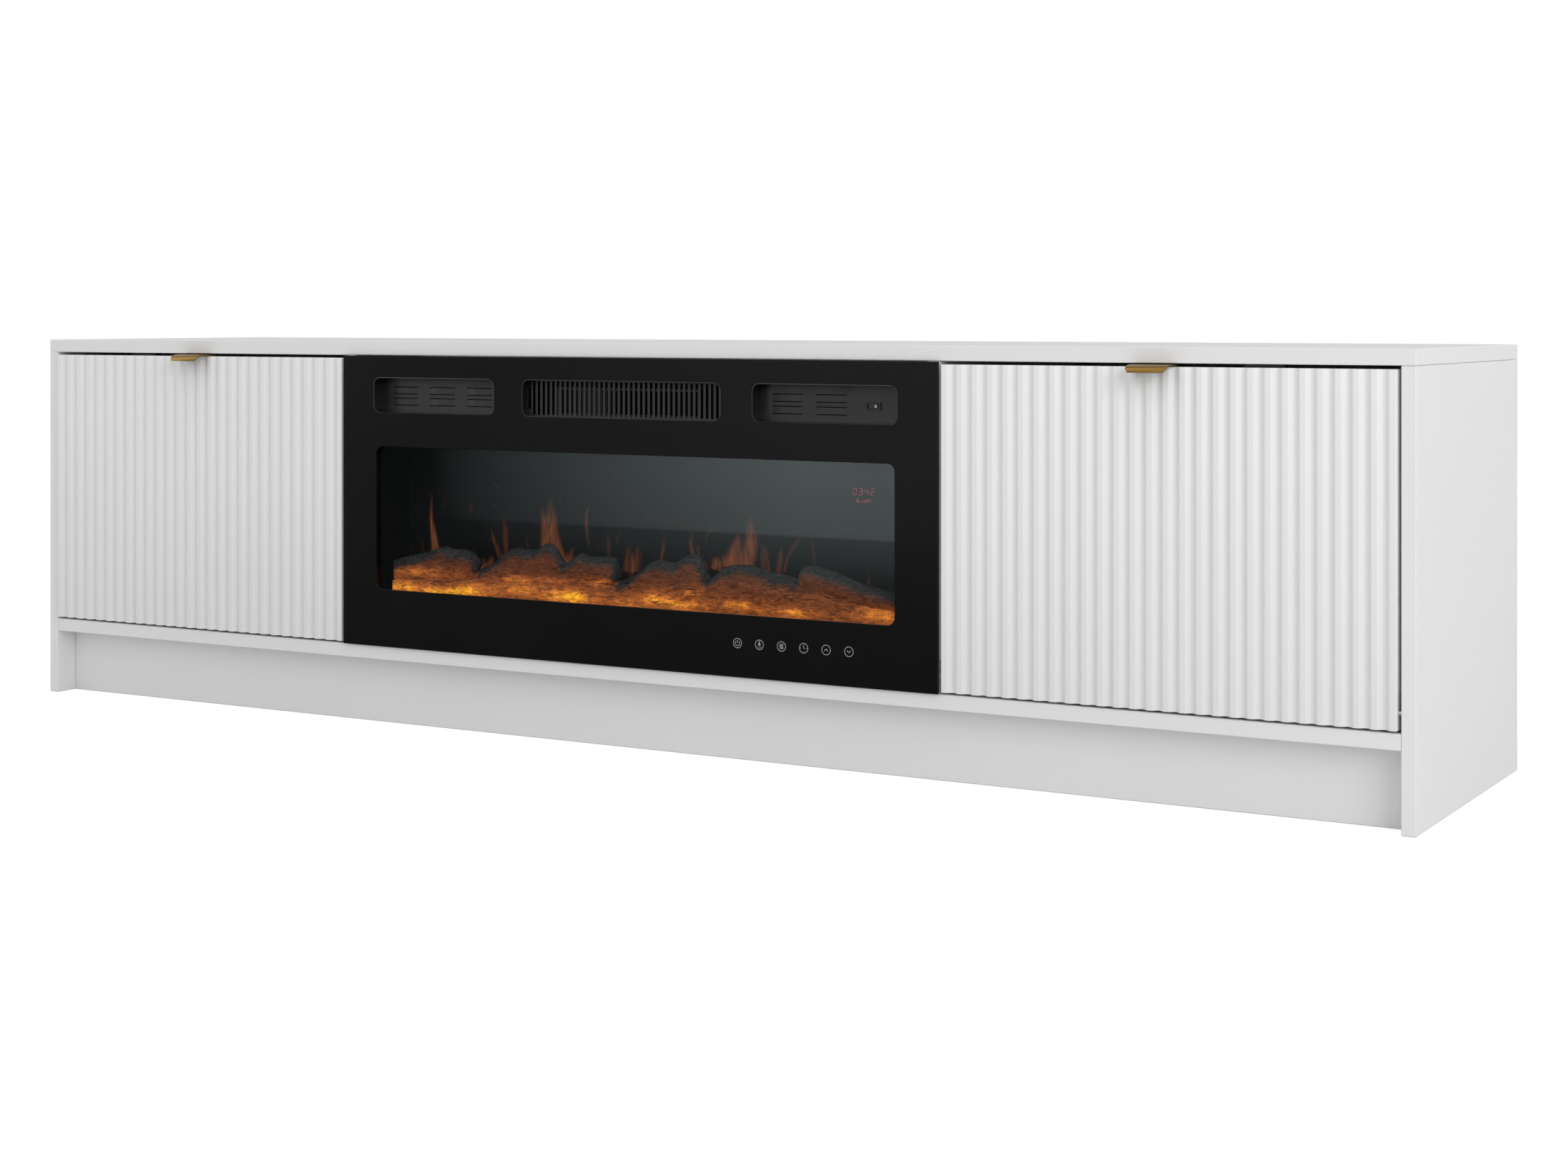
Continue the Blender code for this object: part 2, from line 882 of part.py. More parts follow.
def build_front():
    """Black glass bezel, clear pane behind its window, and the folded steel plate that carries both."""
    half = bezel_width / 2
    outer = box_outline((-half, bezel_low), (half, bezel_high))
    bezel = slab(
        "bezel",
        [outer, window_outline(), *all_vents()],
        "front",
        bezel_front_y,
        bezel_back_y,
        BLACK_GLASS,
    )
    soften(bezel, bezel_edge)
    slab(
        "window_pane",
        [window_outline(pane_lap)],
        "front",
        front_y,
        front_y + pane_thickness,
        CLEAR_GLASS,
    )
    plate_x = bay_x - front_plate_clearance
    plate_low, plate_high = bottom_top + touch, top_under - front_plate_clearance
    plate = slab(
        "front_plate",
        [
            box_outline((-plate_x, plate_low), (plate_x, plate_high)),
            window_outline(pane_lap + touch),
            *all_vents(tray_wall + touch),
            touch_outline(touch),
        ],
        "front",
        front_y,
        plate_back_y,
        BLACK_METAL,
    )
    for hand, side in SIDES:
        low_x, high_x = spread(side, plate_x - touch - front_plate_thickness, plate_x - touch)
        flange = block(
            hand + "_flange",
            (low_x, (front_y + plate_back_y) / 2, plate_low + touch),
            (high_x, front_y + front_plate_flange, plate_high - touch),
        )
        join(plate, flange)


def nearest(shape, spot):
    """The vertex closest to a spot."""
    return min(shape.verts, key=lambda vertex: (vertex.co - Vector(spot)).length)


def tray(name, centre, width, recess, thickness, holes):
    """A shallow tray behind a vent: a floor with holes, and a wall around it that meets the bezel."""
    floor_front = bezel_front_y + recess
    inner, outer = vent_outline(centre, width), vent_outline(centre, width, tray_wall)
    panel = slab(name, [inner, *holes], "front", floor_front, floor_front + thickness, BLACK_METAL)
    shape = bmesh.new()
    shape.from_mesh(panel.data)
    rim = front_y - panel.location.y
    rows = []
    for (across, up), (out_across, out_up) in zip(inner, outer):
        floor_face = nearest(shape, (across, -thickness / 2, up))
        floor_rear = nearest(shape, (across, thickness / 2, up))
        crest = [shape.verts.new(co) for co in ((across, rim, up), (out_across, rim, out_up))]
        foot = shape.verts.new((out_across, thickness / 2, out_up))
        rows.append((floor_face, *crest, foot, floor_rear))
    border = {vertex for row in rows for vertex in (row[0], row[-1])}
    edge_faces = [f for f in shape.faces if abs(f.normal.y) < 1 / 2 and border.issuperset(f.verts)]
    bmesh.ops.delete(shape, geom=edge_faces, context="FACES")
    for row, other in zip(rows, rows[1:] + rows[:1]):
        for step in range(len(row) - 1):
            shape.faces.new((row[step], row[step + 1], other[step + 1], other[step]))
    bmesh.ops.recalc_face_normals(shape, faces=shape.faces)
    shape.to_mesh(panel.data)
    shape.free()
    return panel


def louvre_strip(name, centre, middle, floor_front):
    """A bridge louvre's strip, pressed forward out of the sheet over its opening."""
    half = louvre_length / 2
    raised = floor_front - louvre_rise
    seat = floor_front + tray_wall / 2
    bend = half - louvre_thickness
    crown = bend - louvre_ramp
    path = [
        (centre - half - louvre_rise, seat),
        (centre - bend, seat),
        (centre - crown, raised),
        (centre + crown, raised),
        (centre + bend, seat),
        (centre + half + louvre_rise, seat),
    ]
    reach = louvre_height / 2 - touch
    return slab(name, [ribbon(path, louvre_thickness)], "plan", middle - reach, middle + reach)


def build_side_vent(hand, side, louvre_columns, holes=()):
    vent_centre = side * side_vent_centre
    half, half_height = louvre_length / 2, louvre_height / 2
    openings, strips = [], []
    for column in louvre_columns:
        centre = vent_centre + side * column * louvre_pitch
        for row, drop in (("upper", louvre_upper_drop), ("lower", louvre_lower_drop)):
            middle = vent_high - drop
            low, high = (centre - half, middle - half_height), (centre + half, middle + half_height)
            openings.append(box_outline(low, high))
            name = f"{hand}_louvre_{column + 1}_{row}"
            strips.append(louvre_strip(name, centre, middle, bezel_front_y + side_vent_recess))
    panel = tray(
        hand + "_vent_tray", vent_centre, side_vent_width, side_vent_recess, tray_wall, [*openings, *holes]
    )
    join(panel, *strips)


def build_outlet():
    """The outlet grille: a row of tall slots with round ends."""
    count = math.floor((grille_width - 2 * slot_margin - slot_width) / slot_pitch) + 1
    low, high = vent_low + slot_margin, vent_high - slot_margin
    slots = []
    for index in range(count):
        middle = (index - (count - 1) / 2) * slot_pitch
        to_edge = grille_width / 2 - abs(middle) - slot_width / 2
        inset = max(0, vent_corner - slot_margin - to_edge)
        start = (middle, low + slot_width / 2 + inset)
        end = (middle, high - slot_width / 2 - inset)
        slots.append(stadium(start, end, slot_width, 2))
    tray("outlet_grille", 0, grille_width, grille_recess, grille_thickness, slots)


def switch_can_outline(grow):
    """The rocker switch's can, seen from the front."""
    across = switch_x
    up = vent_high - switch_drop
    half = switch_width / 2 - switch_rim + grow
    high = switch_height / 2 - switch_rim / 2 + grow
    return (across - half, up - high), (across + half, up + high)


def build_switch():
    """A rocker in its housing, which snaps into the right tray's floor."""
    floor_front = bezel_front_y + side_vent_recess
    switch_z = vent_high - switch_drop
    rim_back = floor_front - touch
    rim_front = rim_back - switch_rim_thickness
    half, high = switch_width / 2, switch_height / 2
    housing = block(
        "switch_housing",
        (switch_x - half, rim_front, switch_z - high),
        (switch_x + half, rim_back, switch_z + high),
        BLACK_PLASTIC,
    )
    (low_x, low_z), (high_x, high_z) = switch_can_outline(0)
    can_back = rim_back + switch_can_depth
    can = block(
        "switch_can",
        (low_x, (rim_front + rim_back) / 2, low_z),
        (high_x, can_back, high_z),
    )
    well = block(
        "switch_well",
        (low_x + switch_wall, rim_front - overrun, low_z + switch_wall),
        (high_x - switch_wall, can_back - switch_wall, high_z - switch_wall),
    )
    join(housing, can)
    cut(housing, well)
    pivot = (switch_x, rim_front + rocker_pivot_depth)
    tip = high_x - switch_wall - rocker_clearance - rocker_tip_rise - switch_x
    face = -rocker_pivot_depth
    base = rocker_body_depth - rocker_pivot_depth
    shape = [
        (-tip, face - rocker_tip_rise),
        (0, face),
        (tip, face - rocker_tip_rise),
        (tip, face + rocker_tip_rise),
        (tip / 2, base),
        (-tip / 2, base),
        (-tip, face + rocker_tip_rise),
    ]
    cosine, sine = math.cos(rocker_travel / 2), math.sin(rocker_travel / 2)
    turned = [
        (pivot[0] + across * cosine - back * sine, pivot[1] + across * sine + back * cosine)
        for across, back in shape
    ]
    inset = switch_wall + rocker_clearance
    low, high = low_z + inset, high_z - inset
    rocker = slab("switch_rocker", [turned], "plan", low, high, BLACK_PLASTIC, pivot=pivot)
    axis = axis_empty("switch_axis", (*pivot, switch_z))
    hang(axis, rocker)


def build_casing():
    """The folded steel box round the fireplace, open at the front, with intake slots in its back."""
    casing = block(
        "casing",
        (-casing_x, casing_front_y, casing_low),
        (casing_x, casing_back_y, casing_high),
        BLACK_METAL,
    )
    wall = casing_thickness
    hollow = block(
        "casing_hollow",
        (wall - casing_x, casing_front_y - overrun, casing_low + wall),
        (casing_x - wall, casing_back_y - wall, casing_high - wall),
    )
    cut(casing, hollow)
    outlines = []
    pitch = intake_slot_length + intake_slot_gap
    count = math.floor((2 * (casing_x - intake_end_margin) + intake_slot_gap) / pitch)
    for index in range(count):
        middle = (index - (count - 1) / 2) * pitch
        half = (intake_slot_length - intake_slot_height) / 2
        level = casing_high - intake_drop
        outlines.append(stadium((middle - half, level), (middle + half, level), intake_slot_height, 3))
    slots = slab("intake_slots", outlines, "front", casing_back_y - wall - overrun, casing_back_y + overrun)
    cut(casing, slots)
    centre = (casing_x - gland_inboard, casing_low + gland_rise)
    passage = rod(
        "gland_hole",
        gland_radius + touch,
        (centre[0], casing_back_y - wall - overrun, centre[1]),
        (centre[0], casing_back_y + overrun, centre[1]),
    )
    cut(casing, passage)
    gland = rod(
        "cord_gland",
        gland_radius,
        (centre[0], casing_back_y - wall - gland_flange, centre[1]),
        (centre[0], casing_back_y + gland_out, centre[1]),
        BLACK_PLASTIC,
    )
    collar = rod(
        "gland_collar",
        gland_radius + gland_flange,
        (centre[0], casing_back_y + touch, centre[1]),
        (centre[0], casing_back_y + touch + gland_flange, centre[1]),
    )
    bore = rod(
        "gland_bore",
        gland_bore,
        (centre[0], casing_back_y - wall - gland_flange - overrun, centre[1]),
        (centre[0], casing_back_y + gland_out + overrun, centre[1]),
    )
    join(gland, collar)
    cut(gland, bore)


def build_firebox():
    """Black liner, flame screen and the light board behind it."""
    wall = liner_thickness
    front = front_y + pane_thickness + touch
    rear = screen_y + screen_thickness + liner_tail
    liner = block("firebox_liner", (-liner_x, front, liner_low), (liner_x, rear, liner_high), BLACK_METAL)
    tunnel = block(
        "liner_tunnel",
        (wall - liner_x, front - overrun, liner_low + wall),
        (liner_x - wall, rear + overrun, liner_high - wall),
    )
    cut(liner, tunnel)
    seat = wall + touch
    block(
        "flame_screen",
        (seat - liner_x, screen_y, liner_low + seat),
        (liner_x - seat, screen_y + screen_thickness, liner_high - seat),
        SMOKED,
    )
    led_x = liner_x * led_length_share
    led_y = screen_y + screen_thickness + (liner_tail - led_board_width) / 2
    block(
        "led_board",
        (-led_x, led_y, liner_low + seat),
        (led_x, led_y + led_board_width, liner_low + seat + led_board_thickness),
        BOARD_GREEN,
    )


# Each log is a row of stations: across as a share of the window's width from the middle,
# the log's top as a share of the window's height over its sill, its middle as a share of the
# log bed's depth, and its radius as a share of the thickest log's.
log_station_shares = (
    (
        (-0.518, 0.07, 0.33, 0.70),
        (-0.425, 0.08, 0.34, 0.76),
        (-0.335, 0.07, 0.36, 0.72),
        (-0.277, 0.04, 0.38, 0.60),
    ),
    (
        (-0.518, 0.16, 0.62, 0.52),
        (-0.477, 0.20, 0.62, 0.72),
        (-0.420, 0.26, 0.60, 0.86),
        (-0.392, 0.29, 0.58, 0.95),
        (-0.339, 0.29, 0.57, 0.80),
        (-0.316, 0.22, 0.56, 0.57),
    ),
    (
        (-0.317, 0.13, 0.56, 0.67),
        (-0.281, 0.23, 0.57, 0.86),
        (-0.259, 0.30, 0.58, 0.95),
        (-0.219, 0.33, 0.59, 1.00),
        (-0.173, 0.36, 0.59, 0.90),
        (-0.150, 0.30, 0.59, 0.67),
    ),
    (
        (-0.161, 0.16, 0.57, 0.67),
        (-0.133, 0.24, 0.57, 0.72),
        (-0.103, 0.31, 0.57, 0.81),
        (-0.058, 0.30, 0.57, 0.81),
        (-0.032, 0.26, 0.57, 0.62),
    ),
    (
        (-0.058, 0.09, 0.52, 0.67),
        (0.003, 0.20, 0.53, 0.81),
        (0.052, 0.30, 0.54, 0.86),
        (0.084, 0.31, 0.55, 0.86),
        (0.113, 0.35, 0.56, 0.86),
        (0.134, 0.26, 0.57, 0.57),
    ),
    (
        (-0.285, 0.05, 0.29, 0.64),
        (-0.155, 0.07, 0.31, 0.76),
        (0.000, 0.08, 0.31, 0.76),
        (0.116, 0.06, 0.33, 0.67),
    ),
    (
        (0.126, 0.12, 0.52, 0.67),
        (0.147, 0.21, 0.52, 0.81),
        (0.193, 0.29, 0.52, 0.90),
        (0.251, 0.26, 0.50, 0.90),
        (0.304, 0.22, 0.49, 0.90),
        (0.382, 0.13, 0.46, 0.76),
        (0.438, 0.08, 0.43, 0.62),
        (0.518, 0.04, 0.43, 0.48),
    ),
    (
        (0.299, 0.20, 0.62, 0.48),
        (0.334, 0.32, 0.62, 0.67),
        (0.378, 0.29, 0.62, 0.72),
        (0.437, 0.22, 0.62, 0.62),
        (0.473, 0.17, 0.62, 0.52),
        (0.518, 0.12, 0.62, 0.48),
    ),
)


def log_surface(across, back, bed_front, bed_depth):
    """The moulding's height at one place: the bed, or the highest log that lies there."""
    step_y = bed_front + bed_step_share * bed_depth
    height = window_low if back < step_y else window_low + log_step_rise
    for stations in log_station_shares:
        for near, far in zip(stations, stations[1:]):
            near_x, far_x = near[0] * window_width, far[0] * window_width
            if not near_x <= across <= far_x:
                continue
            share = (across - near_x) / (far_x - near_x)
            top, depth, thick = [a + (b - a) * share for a, b in zip(near[1:], far[1:])]
            radius = thick * log_radius
            off = back - bed_front - depth * bed_depth
            if abs(off) < radius:
                dip = radius - math.sqrt(radius**2 - off**2)
                height = max(height, window_low + top * window_height - dip)
    return height


def build_logs():
    """The moulded log set: a relief of logs on a stepped bed, flat underneath."""
    bed_front = front_y + pane_thickness + 2 * touch
    bed_depth = screen_y - touch - bed_front
    floor = liner_low + liner_thickness + touch
    half = liner_x - liner_thickness - touch
    near, far = bed_front + log_bed_margin, bed_front + bed_depth - log_bed_margin
    mesh = bpy.data.meshes.new("log_set")
    shape = bmesh.new()
    bmesh.ops.create_grid(shape, x_segments=log_columns, y_segments=log_rows, size=1)
    for vert in shape.verts:
        across = vert.co.x * half
        back = (near + far) / 2 + vert.co.y * (far - near) / 2
        vert.co = (across, back, log_surface(across, back, bed_front, bed_depth))
    rim = [edge for edge in shape.edges if edge.is_boundary]
    skirt = bmesh.ops.extrude_edge_only(shape, edges=rim)["geom"]
    for vert in skirt:
        if isinstance(vert, bmesh.types.BMVert):
            vert.co.z = floor
    lower_rim = [edge for edge in shape.edges if edge.is_boundary]
    bmesh.ops.contextual_create(shape, geom=lower_rim)
    bmesh.ops.recalc_face_normals(shape, faces=shape.faces)
    shape.to_mesh(mesh)
    shape.free()
    place("log_set", mesh, (0, 0, 0), RESIN_LOG)


def build_spindle():
    """The turning spindle with bent mirror fins that throws the flames on the screen."""
    half = spindle_length / 2
    spindle = rod(
        "flame_spindle",
        spindle_radius,
        (-half, spindle_y, spindle_z),
        (half, spindle_y, spindle_z),
        STEEL,
        12,
    )
    count = math.floor(spindle_length / spindle_fin_pitch) - 1
    for index in range(count):
        middle = (index - (count - 1) / 2) * spindle_fin_pitch
        reach = spindle_fin_length_share * spindle_fin_pitch / 2
        turn = index * spindle_turn_per_fin
        tip = Vector((math.cos(turn), math.sin(turn))) * spindle_fin_reach
        bow = Vector((-math.sin(turn), math.cos(turn))) * spindle_fin_reach / 3
        axis = Vector((spindle_y, spindle_z))
        path = [tuple(axis - tip - bow), tuple(axis), tuple(axis + tip - bow)]
        fin = slab(
            f"spindle_fin_{index + 1}",
            [ribbon(path, spindle_fin_thickness)],
            "side",
            middle - reach,
            middle + reach,
        )
        join(spindle, fin)
    hang(axis_empty("spindle_axis", (0, spindle_y, spindle_z)), spindle)
    floor = casing_low + casing_thickness + touch
    hole = arc((spindle_y, spindle_z), spindle_radius + pin_running_clearance, 0, 2 * math.pi, 12)[:-1]
    half_width = spindle_bearing_width / 2
    top = spindle_z + half_width
    post = box_outline((spindle_y - half_width, floor), (spindle_y + half_width, top))
    low_x = -half + spindle_bearing_thickness
    slab("spindle_bearing", [post, hole], "side", low_x, low_x + spindle_bearing_thickness, BLACK_PLASTIC)
    motor_x = half - spindle_motor_length
    foot = box_outline((spindle_y - half_width, floor), (spindle_y + half_width, spindle_z))
    motor = slab("spindle_motor", [foot], "side", motor_x, half, STEEL)
    can = rod(
        "spindle_motor_can",
        spindle_motor_radius,
        (motor_x, spindle_y, spindle_z),
        (half, spindle_y, spindle_z),
    )
    join(motor, can)
    socket = rod(
        "spindle_motor_socket",
        spindle_radius + pin_running_clearance,
        (motor_x - overrun, spindle_y, spindle_z),
        (half + overrun, spindle_y, spindle_z),
        sides=12,
    )
    cut(motor, socket)


def impeller_blades():
    """Curved blades between the end discs, all at one radius."""
    blades = []
    root = impeller_radius - blade_depth
    reach = impeller_length / 2 - impeller_disc_thickness / 2
    for index in range(blade_count):
        angle = 2 * math.pi * index / blade_count
        path = []
        for share in (0, 0.5, 1):
            radius = root + (blade_depth - touch) * share
            turn = angle + blade_lean * share * share
            path.append(
                (blower_y + radius * math.cos(turn), blower_z + radius * math.sin(turn))
            )
        blade = slab(f"blade_{index + 1}", [ribbon(path, blade_thickness)], "side", -reach, reach)
        blades.append(blade)
    return blades


def build_blower():
    """Crossflow impeller, its scroll housing and the motor at the end."""
    half = impeller_length / 2
    axis_point = (blower_y, blower_z)
    shaft_low = -half - blower_end_gap - 2 * scroll_wall
    shaft_high = half + blower_end_gap + scroll_wall + blower_motor_recess
    impeller = rod(
        "blower_impeller",
        blower_shaft_radius,
        (shaft_low, *axis_point),
        (shaft_high, *axis_point),
        BLACK_METAL,
        16,
    )
    disc_lows = {
        "left": -half,
        "middle": -impeller_disc_thickness / 2,
        "right": half - impeller_disc_thickness,
    }
    for name, low in disc_lows.items():
        disc = rod(
            f"impeller_disc_{name}",
            impeller_radius,
            (low, *axis_point),
            (low + impeller_disc_thickness, *axis_point),
            sides=24,
        )
        join(impeller, disc)
    join(impeller, *impeller_blades())
    hang(axis_empty("blower_axis", (0, *axis_point)), impeller)
    inner = impeller_radius + scroll_gap
    start = -math.pi / 2
    spiral = []
    for step in range(scroll_steps + 1):
        share = step / scroll_steps
        angle = start + (scroll_end_angle - start) * share
        radius = inner + scroll_growth * share
        spiral.append((blower_y + radius * math.cos(angle), blower_z + radius * math.sin(angle)))
    outlet_y = blower_y - outlet_run
    floor_level = blower_z - inner
    reach = half + blower_end_gap + scroll_wall
    housing = slab(
        "blower_housing",
        [ribbon([(outlet_y, floor_level)] + spiral, scroll_wall)],
        "side",
        -reach,
        reach,
        STEEL,
    )
    roof = blower_z + outlet_top_rise
    tongue_y = blower_y - inner
    tongue = [(outlet_y, roof), (tongue_y, roof), (tongue_y + tongue_lean, roof + tongue_height)]
    join(housing, slab("blower_tongue", [ribbon(tongue, scroll_wall)], "side", -reach, reach))
    high = blower_z + inner + scroll_growth
    rear = blower_y + inner + scroll_growth
    for name, low in (("left", -reach), ("right", reach - scroll_wall)):
        cheek = box_outline((outlet_y, floor_level - scroll_wall), (rear, high))
        hole = arc(axis_point, blower_shaft_radius + pin_running_clearance, 0, 2 * math.pi, 16)[:-1]
        join(housing, slab(f"blower_cheek_{name}", [cheek, hole], "side", low, low + scroll_wall))
    foot_low = liner_high + touch
    foot = block(
        "blower_foot",
        (-reach, outlet_y, foot_low),
        (reach, outlet_y + outlet_run / 2, floor_level),
    )
    join(housing, foot)
    motor_low = reach + touch
    motor = rod(
        "blower_motor",
        blower_motor_radius,
        (motor_low, *axis_point),
        (motor_low + blower_motor_length, *axis_point),
        STEEL,
        32,
    )
    socket = rod(
        "blower_motor_socket",
        blower_shaft_radius + pin_running_clearance,
        (motor_low - overrun, *axis_point),
        (motor_low + blower_motor_recess, *axis_point),
        sides=16,
    )
    cut(motor, socket)
    return outlet_y, floor_level, roof


def build_heater(outlet_y, floor_level, roof):
    """The finned heating element across the blower's outlet."""
    half = impeller_length / 2
    rear = outlet_y - touch
    low, high = floor_level, roof
    cells = math.floor((2 * half - 2 * heater_rim) / heater_cell_pitch)
    width = heater_cell_pitch - heater_fin_thickness
    outlines = [box_outline((-half, low), (half, high))]
    for index in range(cells):
        middle = (index - (cells - 1) / 2) * heater_cell_pitch
        outlines.append(
            box_outline((middle - width / 2, low + heater_rim), (middle + width / 2, high - heater_rim))
        )
    slab("heating_element", outlines, "front", rear - heater_depth, rear, ALUMINIUM)


def build_electronics():
    slab(
        "touch_board",
        [touch_outline()],
        "front",
        front_y,
        front_y + touch_board_thickness,
        BOARD_GREEN,
    )
    high = liner_high - liner_thickness - touch
    rear = front_y + pane_thickness + 2 * touch + display_thickness
    block(
        "display_board",
        (display_centre - display_width / 2, rear - display_thickness, high - display_height),
        (display_centre + display_width / 2, rear, high),
        BLACK_PLASTIC,
    )


def build_fireplace():
    build_front()
    build_side_vent("left", -1, (-1, 0, 1))
    build_side_vent("right", 1, (-1, 0), [box_outline(*switch_can_outline(touch))])
    build_switch()
    build_outlet()
    build_casing()
    build_firebox()
    build_logs()
    build_spindle()
    build_heater(*build_blower())
    build_electronics()


def build_cabinet():
    build_boards()
    build_base()
    build_rear_rail()
    for hand, side in SIDES:
        build_uprights(hand, side)
        build_back(hand, side)
        build_flap(hand, side)
    build_fireplace()


build_cabinet()
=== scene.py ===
"""A white TV cabinet with an electric fireplace between two fluted flaps, dressed for a picture.

Metres, +Z up, the front towards -Y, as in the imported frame.
"""

import math

import bmesh
import bpy
from mathutils import Matrix, Vector, noise


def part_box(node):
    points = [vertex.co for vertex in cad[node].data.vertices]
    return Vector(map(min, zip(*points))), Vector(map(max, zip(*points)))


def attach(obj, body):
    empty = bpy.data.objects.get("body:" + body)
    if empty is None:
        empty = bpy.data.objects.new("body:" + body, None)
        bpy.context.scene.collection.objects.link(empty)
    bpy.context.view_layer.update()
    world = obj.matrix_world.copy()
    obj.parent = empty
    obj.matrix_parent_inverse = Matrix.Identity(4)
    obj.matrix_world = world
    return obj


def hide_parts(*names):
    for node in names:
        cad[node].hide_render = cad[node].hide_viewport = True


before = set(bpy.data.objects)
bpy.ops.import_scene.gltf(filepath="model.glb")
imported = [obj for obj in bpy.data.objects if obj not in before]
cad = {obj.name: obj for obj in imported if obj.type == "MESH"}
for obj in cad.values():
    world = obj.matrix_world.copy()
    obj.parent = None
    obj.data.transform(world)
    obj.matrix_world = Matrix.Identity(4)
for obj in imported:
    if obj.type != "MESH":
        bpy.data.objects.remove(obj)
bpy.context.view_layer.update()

SIDES = (("left", -1), ("right", 1))
QUARTER = math.pi / 2
PLANES = {
    "front": Matrix(((1, 0, 0), (0, 0, -1), (0, 1, 0))),
    "plan": Matrix.Identity(3),
}
RANGE_INPUTS = "Value", "From Min", "From Max", "To Min", "To Max"
SHADER_INPUTS = {
    "base": "Base Color",
    "rough": "Roughness",
    "gloss": "Specular IOR Level",
    "tint": "Specular Tint",
    "coat": "Coat Weight",
    "coat_rough": "Coat Roughness",
    "clear": "Transmission Weight",
    "glow": "Emission Color",
    "power": "Emission Strength",
}
unit = 10000  # the tables of flames and logs are in tenths of a millimetre
percent = 100
weld_distance = 0.00001
crease_angle = math.radians(32)
bevel_angle = math.radians(40)
fillet_limit = 2.2
noise_span = (0.3, 0.7)
noise_core = (0.35, 0.65)

# Camera and light
camera_place = (1.70748, -2.74618, 0.54562)
camera_turn = 0.52484
camera_lens = 56.05
camera_sensor = 36.0
camera_shift_up = -0.1732
key_place = (3.6, -2.4, 1.6)
key_aim = (0.4, 0.0, 0.3)
key_size = 2.0
key_power = 42.0
sky_strength = 0.80
mirror_dark = 0.042
mirror_room = 0.60
mirror_side = 1.6
pane_mirror_tint = (0.84, 0.97, 1.0, 1)
floor_size = 14.0
floor_cells = 24
floor_drop = 0.0004
floor_lift = 0.55

# Flap fronts
flute_pitch = 0.0194
flute_depth = 0.0046
flute_floor = 0.003
flute_slope = 0.005
flute_margin = 0.0141
flute_slack = 0.02
flute_arris = 0.0014
door_thickness = 0.018
door_edge = 0.0005
door_edge_share = 0.3

# Pulls
pull_thickness = 0.0022
pull_drop = 0.0087
pull_nose = 0.013
pull_corner = 0.0035
pull_edge = 0.0004
pull_bend = 0.003
pull_bend_steps = 6
pull_nose_steps = 28

# Fireplace front
window_corner = 0.010
vent_corner = 0.010
vent_low, vent_high = 0.4180, 0.4642
side_vent_centre = 0.2928
side_vent_width = 0.197
grille_width = 0.2974
window_half = 0.3878
window_low, window_high = 0.1833, 0.3729
glass_edge = 0.0004
pane_edge = 0.0003
glass_gloss = 0.18
glass_coat = 0.08
ink_proud = 0.00006
icon_radius = 0.0062
icon_line = 0.0008
icon_z = 0.149
icon_first = 0.1733
icon_step = 0.03078
ink_dim = 0.82

# Places that come from the frame, and the narrow edges beside them
board_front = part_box("top_panel")[0].y
board_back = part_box("left_back_panel")[1].y
bezel_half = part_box("bezel")[1].x
seam_back = 0.001
seam_width = 0.0003
seam_shade = 0.35
hdf_skin = 0.0006
screen_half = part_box("flame_screen")[1].x
screen_edge = 0.0016

# Vents
pan_wall = 0.0012
lip_cover = 0.0008
lip_inset = 0.0003
lip_proud = 0.0002
lip_edge = 0.00012
louvre_length = 0.042
louvre_height = 0.0102
louvre_slit = 0.0008
louvre_rise = 0.0009
louvre_ramp = 0.016
louvre_thickness = 0.0008
louvre_edge = 0.0003
louvre_steps = 28
louvre_pitch = 0.061
louvre_drops = (0.0170, 0.0318)
grille_thickness = 0.002
slot_pitch = 0.00745
slot_width = 0.0038
slot_margin = 0.0012
slot_edge = 0.0004
switch_rim = 0.0016

# Marks
digit_left = 0.3283
digit_foot = 0.3345
digit_pitch = 0.0078
digit_height = 0.0078
digit_width_share = 0.58
digit_trim = 0.1
digit_slant = 0.12
digit_line = 0.0011
bar_foot = 0.3255
bar_height = 0.0052
bar_pitch = 0.0025
bar_start = 2.5
bar_indent = 0.55
bar_shares = (0.30, 0.45, 0.60, 0.75, 0.90, 0.85)
rocker_mark_out = 0.0037
rocker_mark_reach = 0.0018
rocker_mark_line = 0.0008
rocker_left_turn = math.radians(21.7)
rocker_right_turn = math.radians(-5.7)
rocker_face = {"on": -0.1911, "off": -0.1916}

# Fixings
screw_steps, ring_steps = 20, 24
screw_sink = -0.0002
screw_proud = 0.0003
cross_arm = 0.62
cross_thin = 0.17
plate_screw, plate_inset = 0.0021, 0.007
stay_screw, brake_inset = 0.0026, 0.006
catch_screw, catch_inset = 0.0022, 0.008
catch_screw_back = -0.182
strike_screw, strike_inset = 0.0020, 0.005
rear_screw = 0.0030
back_inner = 0.005
back_rows, back_first, back_pitch = 4, 0.14, 0.095
back_shares = (0.15, 0.38, 0.62, 0.85)
back_foot, back_head = 0.009, 0.02
casing_side, casing_gaps = 0.012, 4
bracket_screw_in = 0.0105
bracket_foot = 0.0025
bracket_screw_out = 0.016
cap_across = (-0.950, -0.478, 0.478, 0.950)
cap_back = (-0.12, 0.16)
cap_radius = 0.006
cap_proud = 0.0008
# The intake slats below are painted shade: dark slats that hide the lit boards behind the casing
intake_drop = 0.045
intake_pitch = 0.080
intake_slots = range(-4, 5)
slats = range(-18, 19)
slat_pitch = 0.0016
slat_half = 0.00055
slat_high = 0.0031
slat_deep = 0.0012
slat_sink = 0.0001

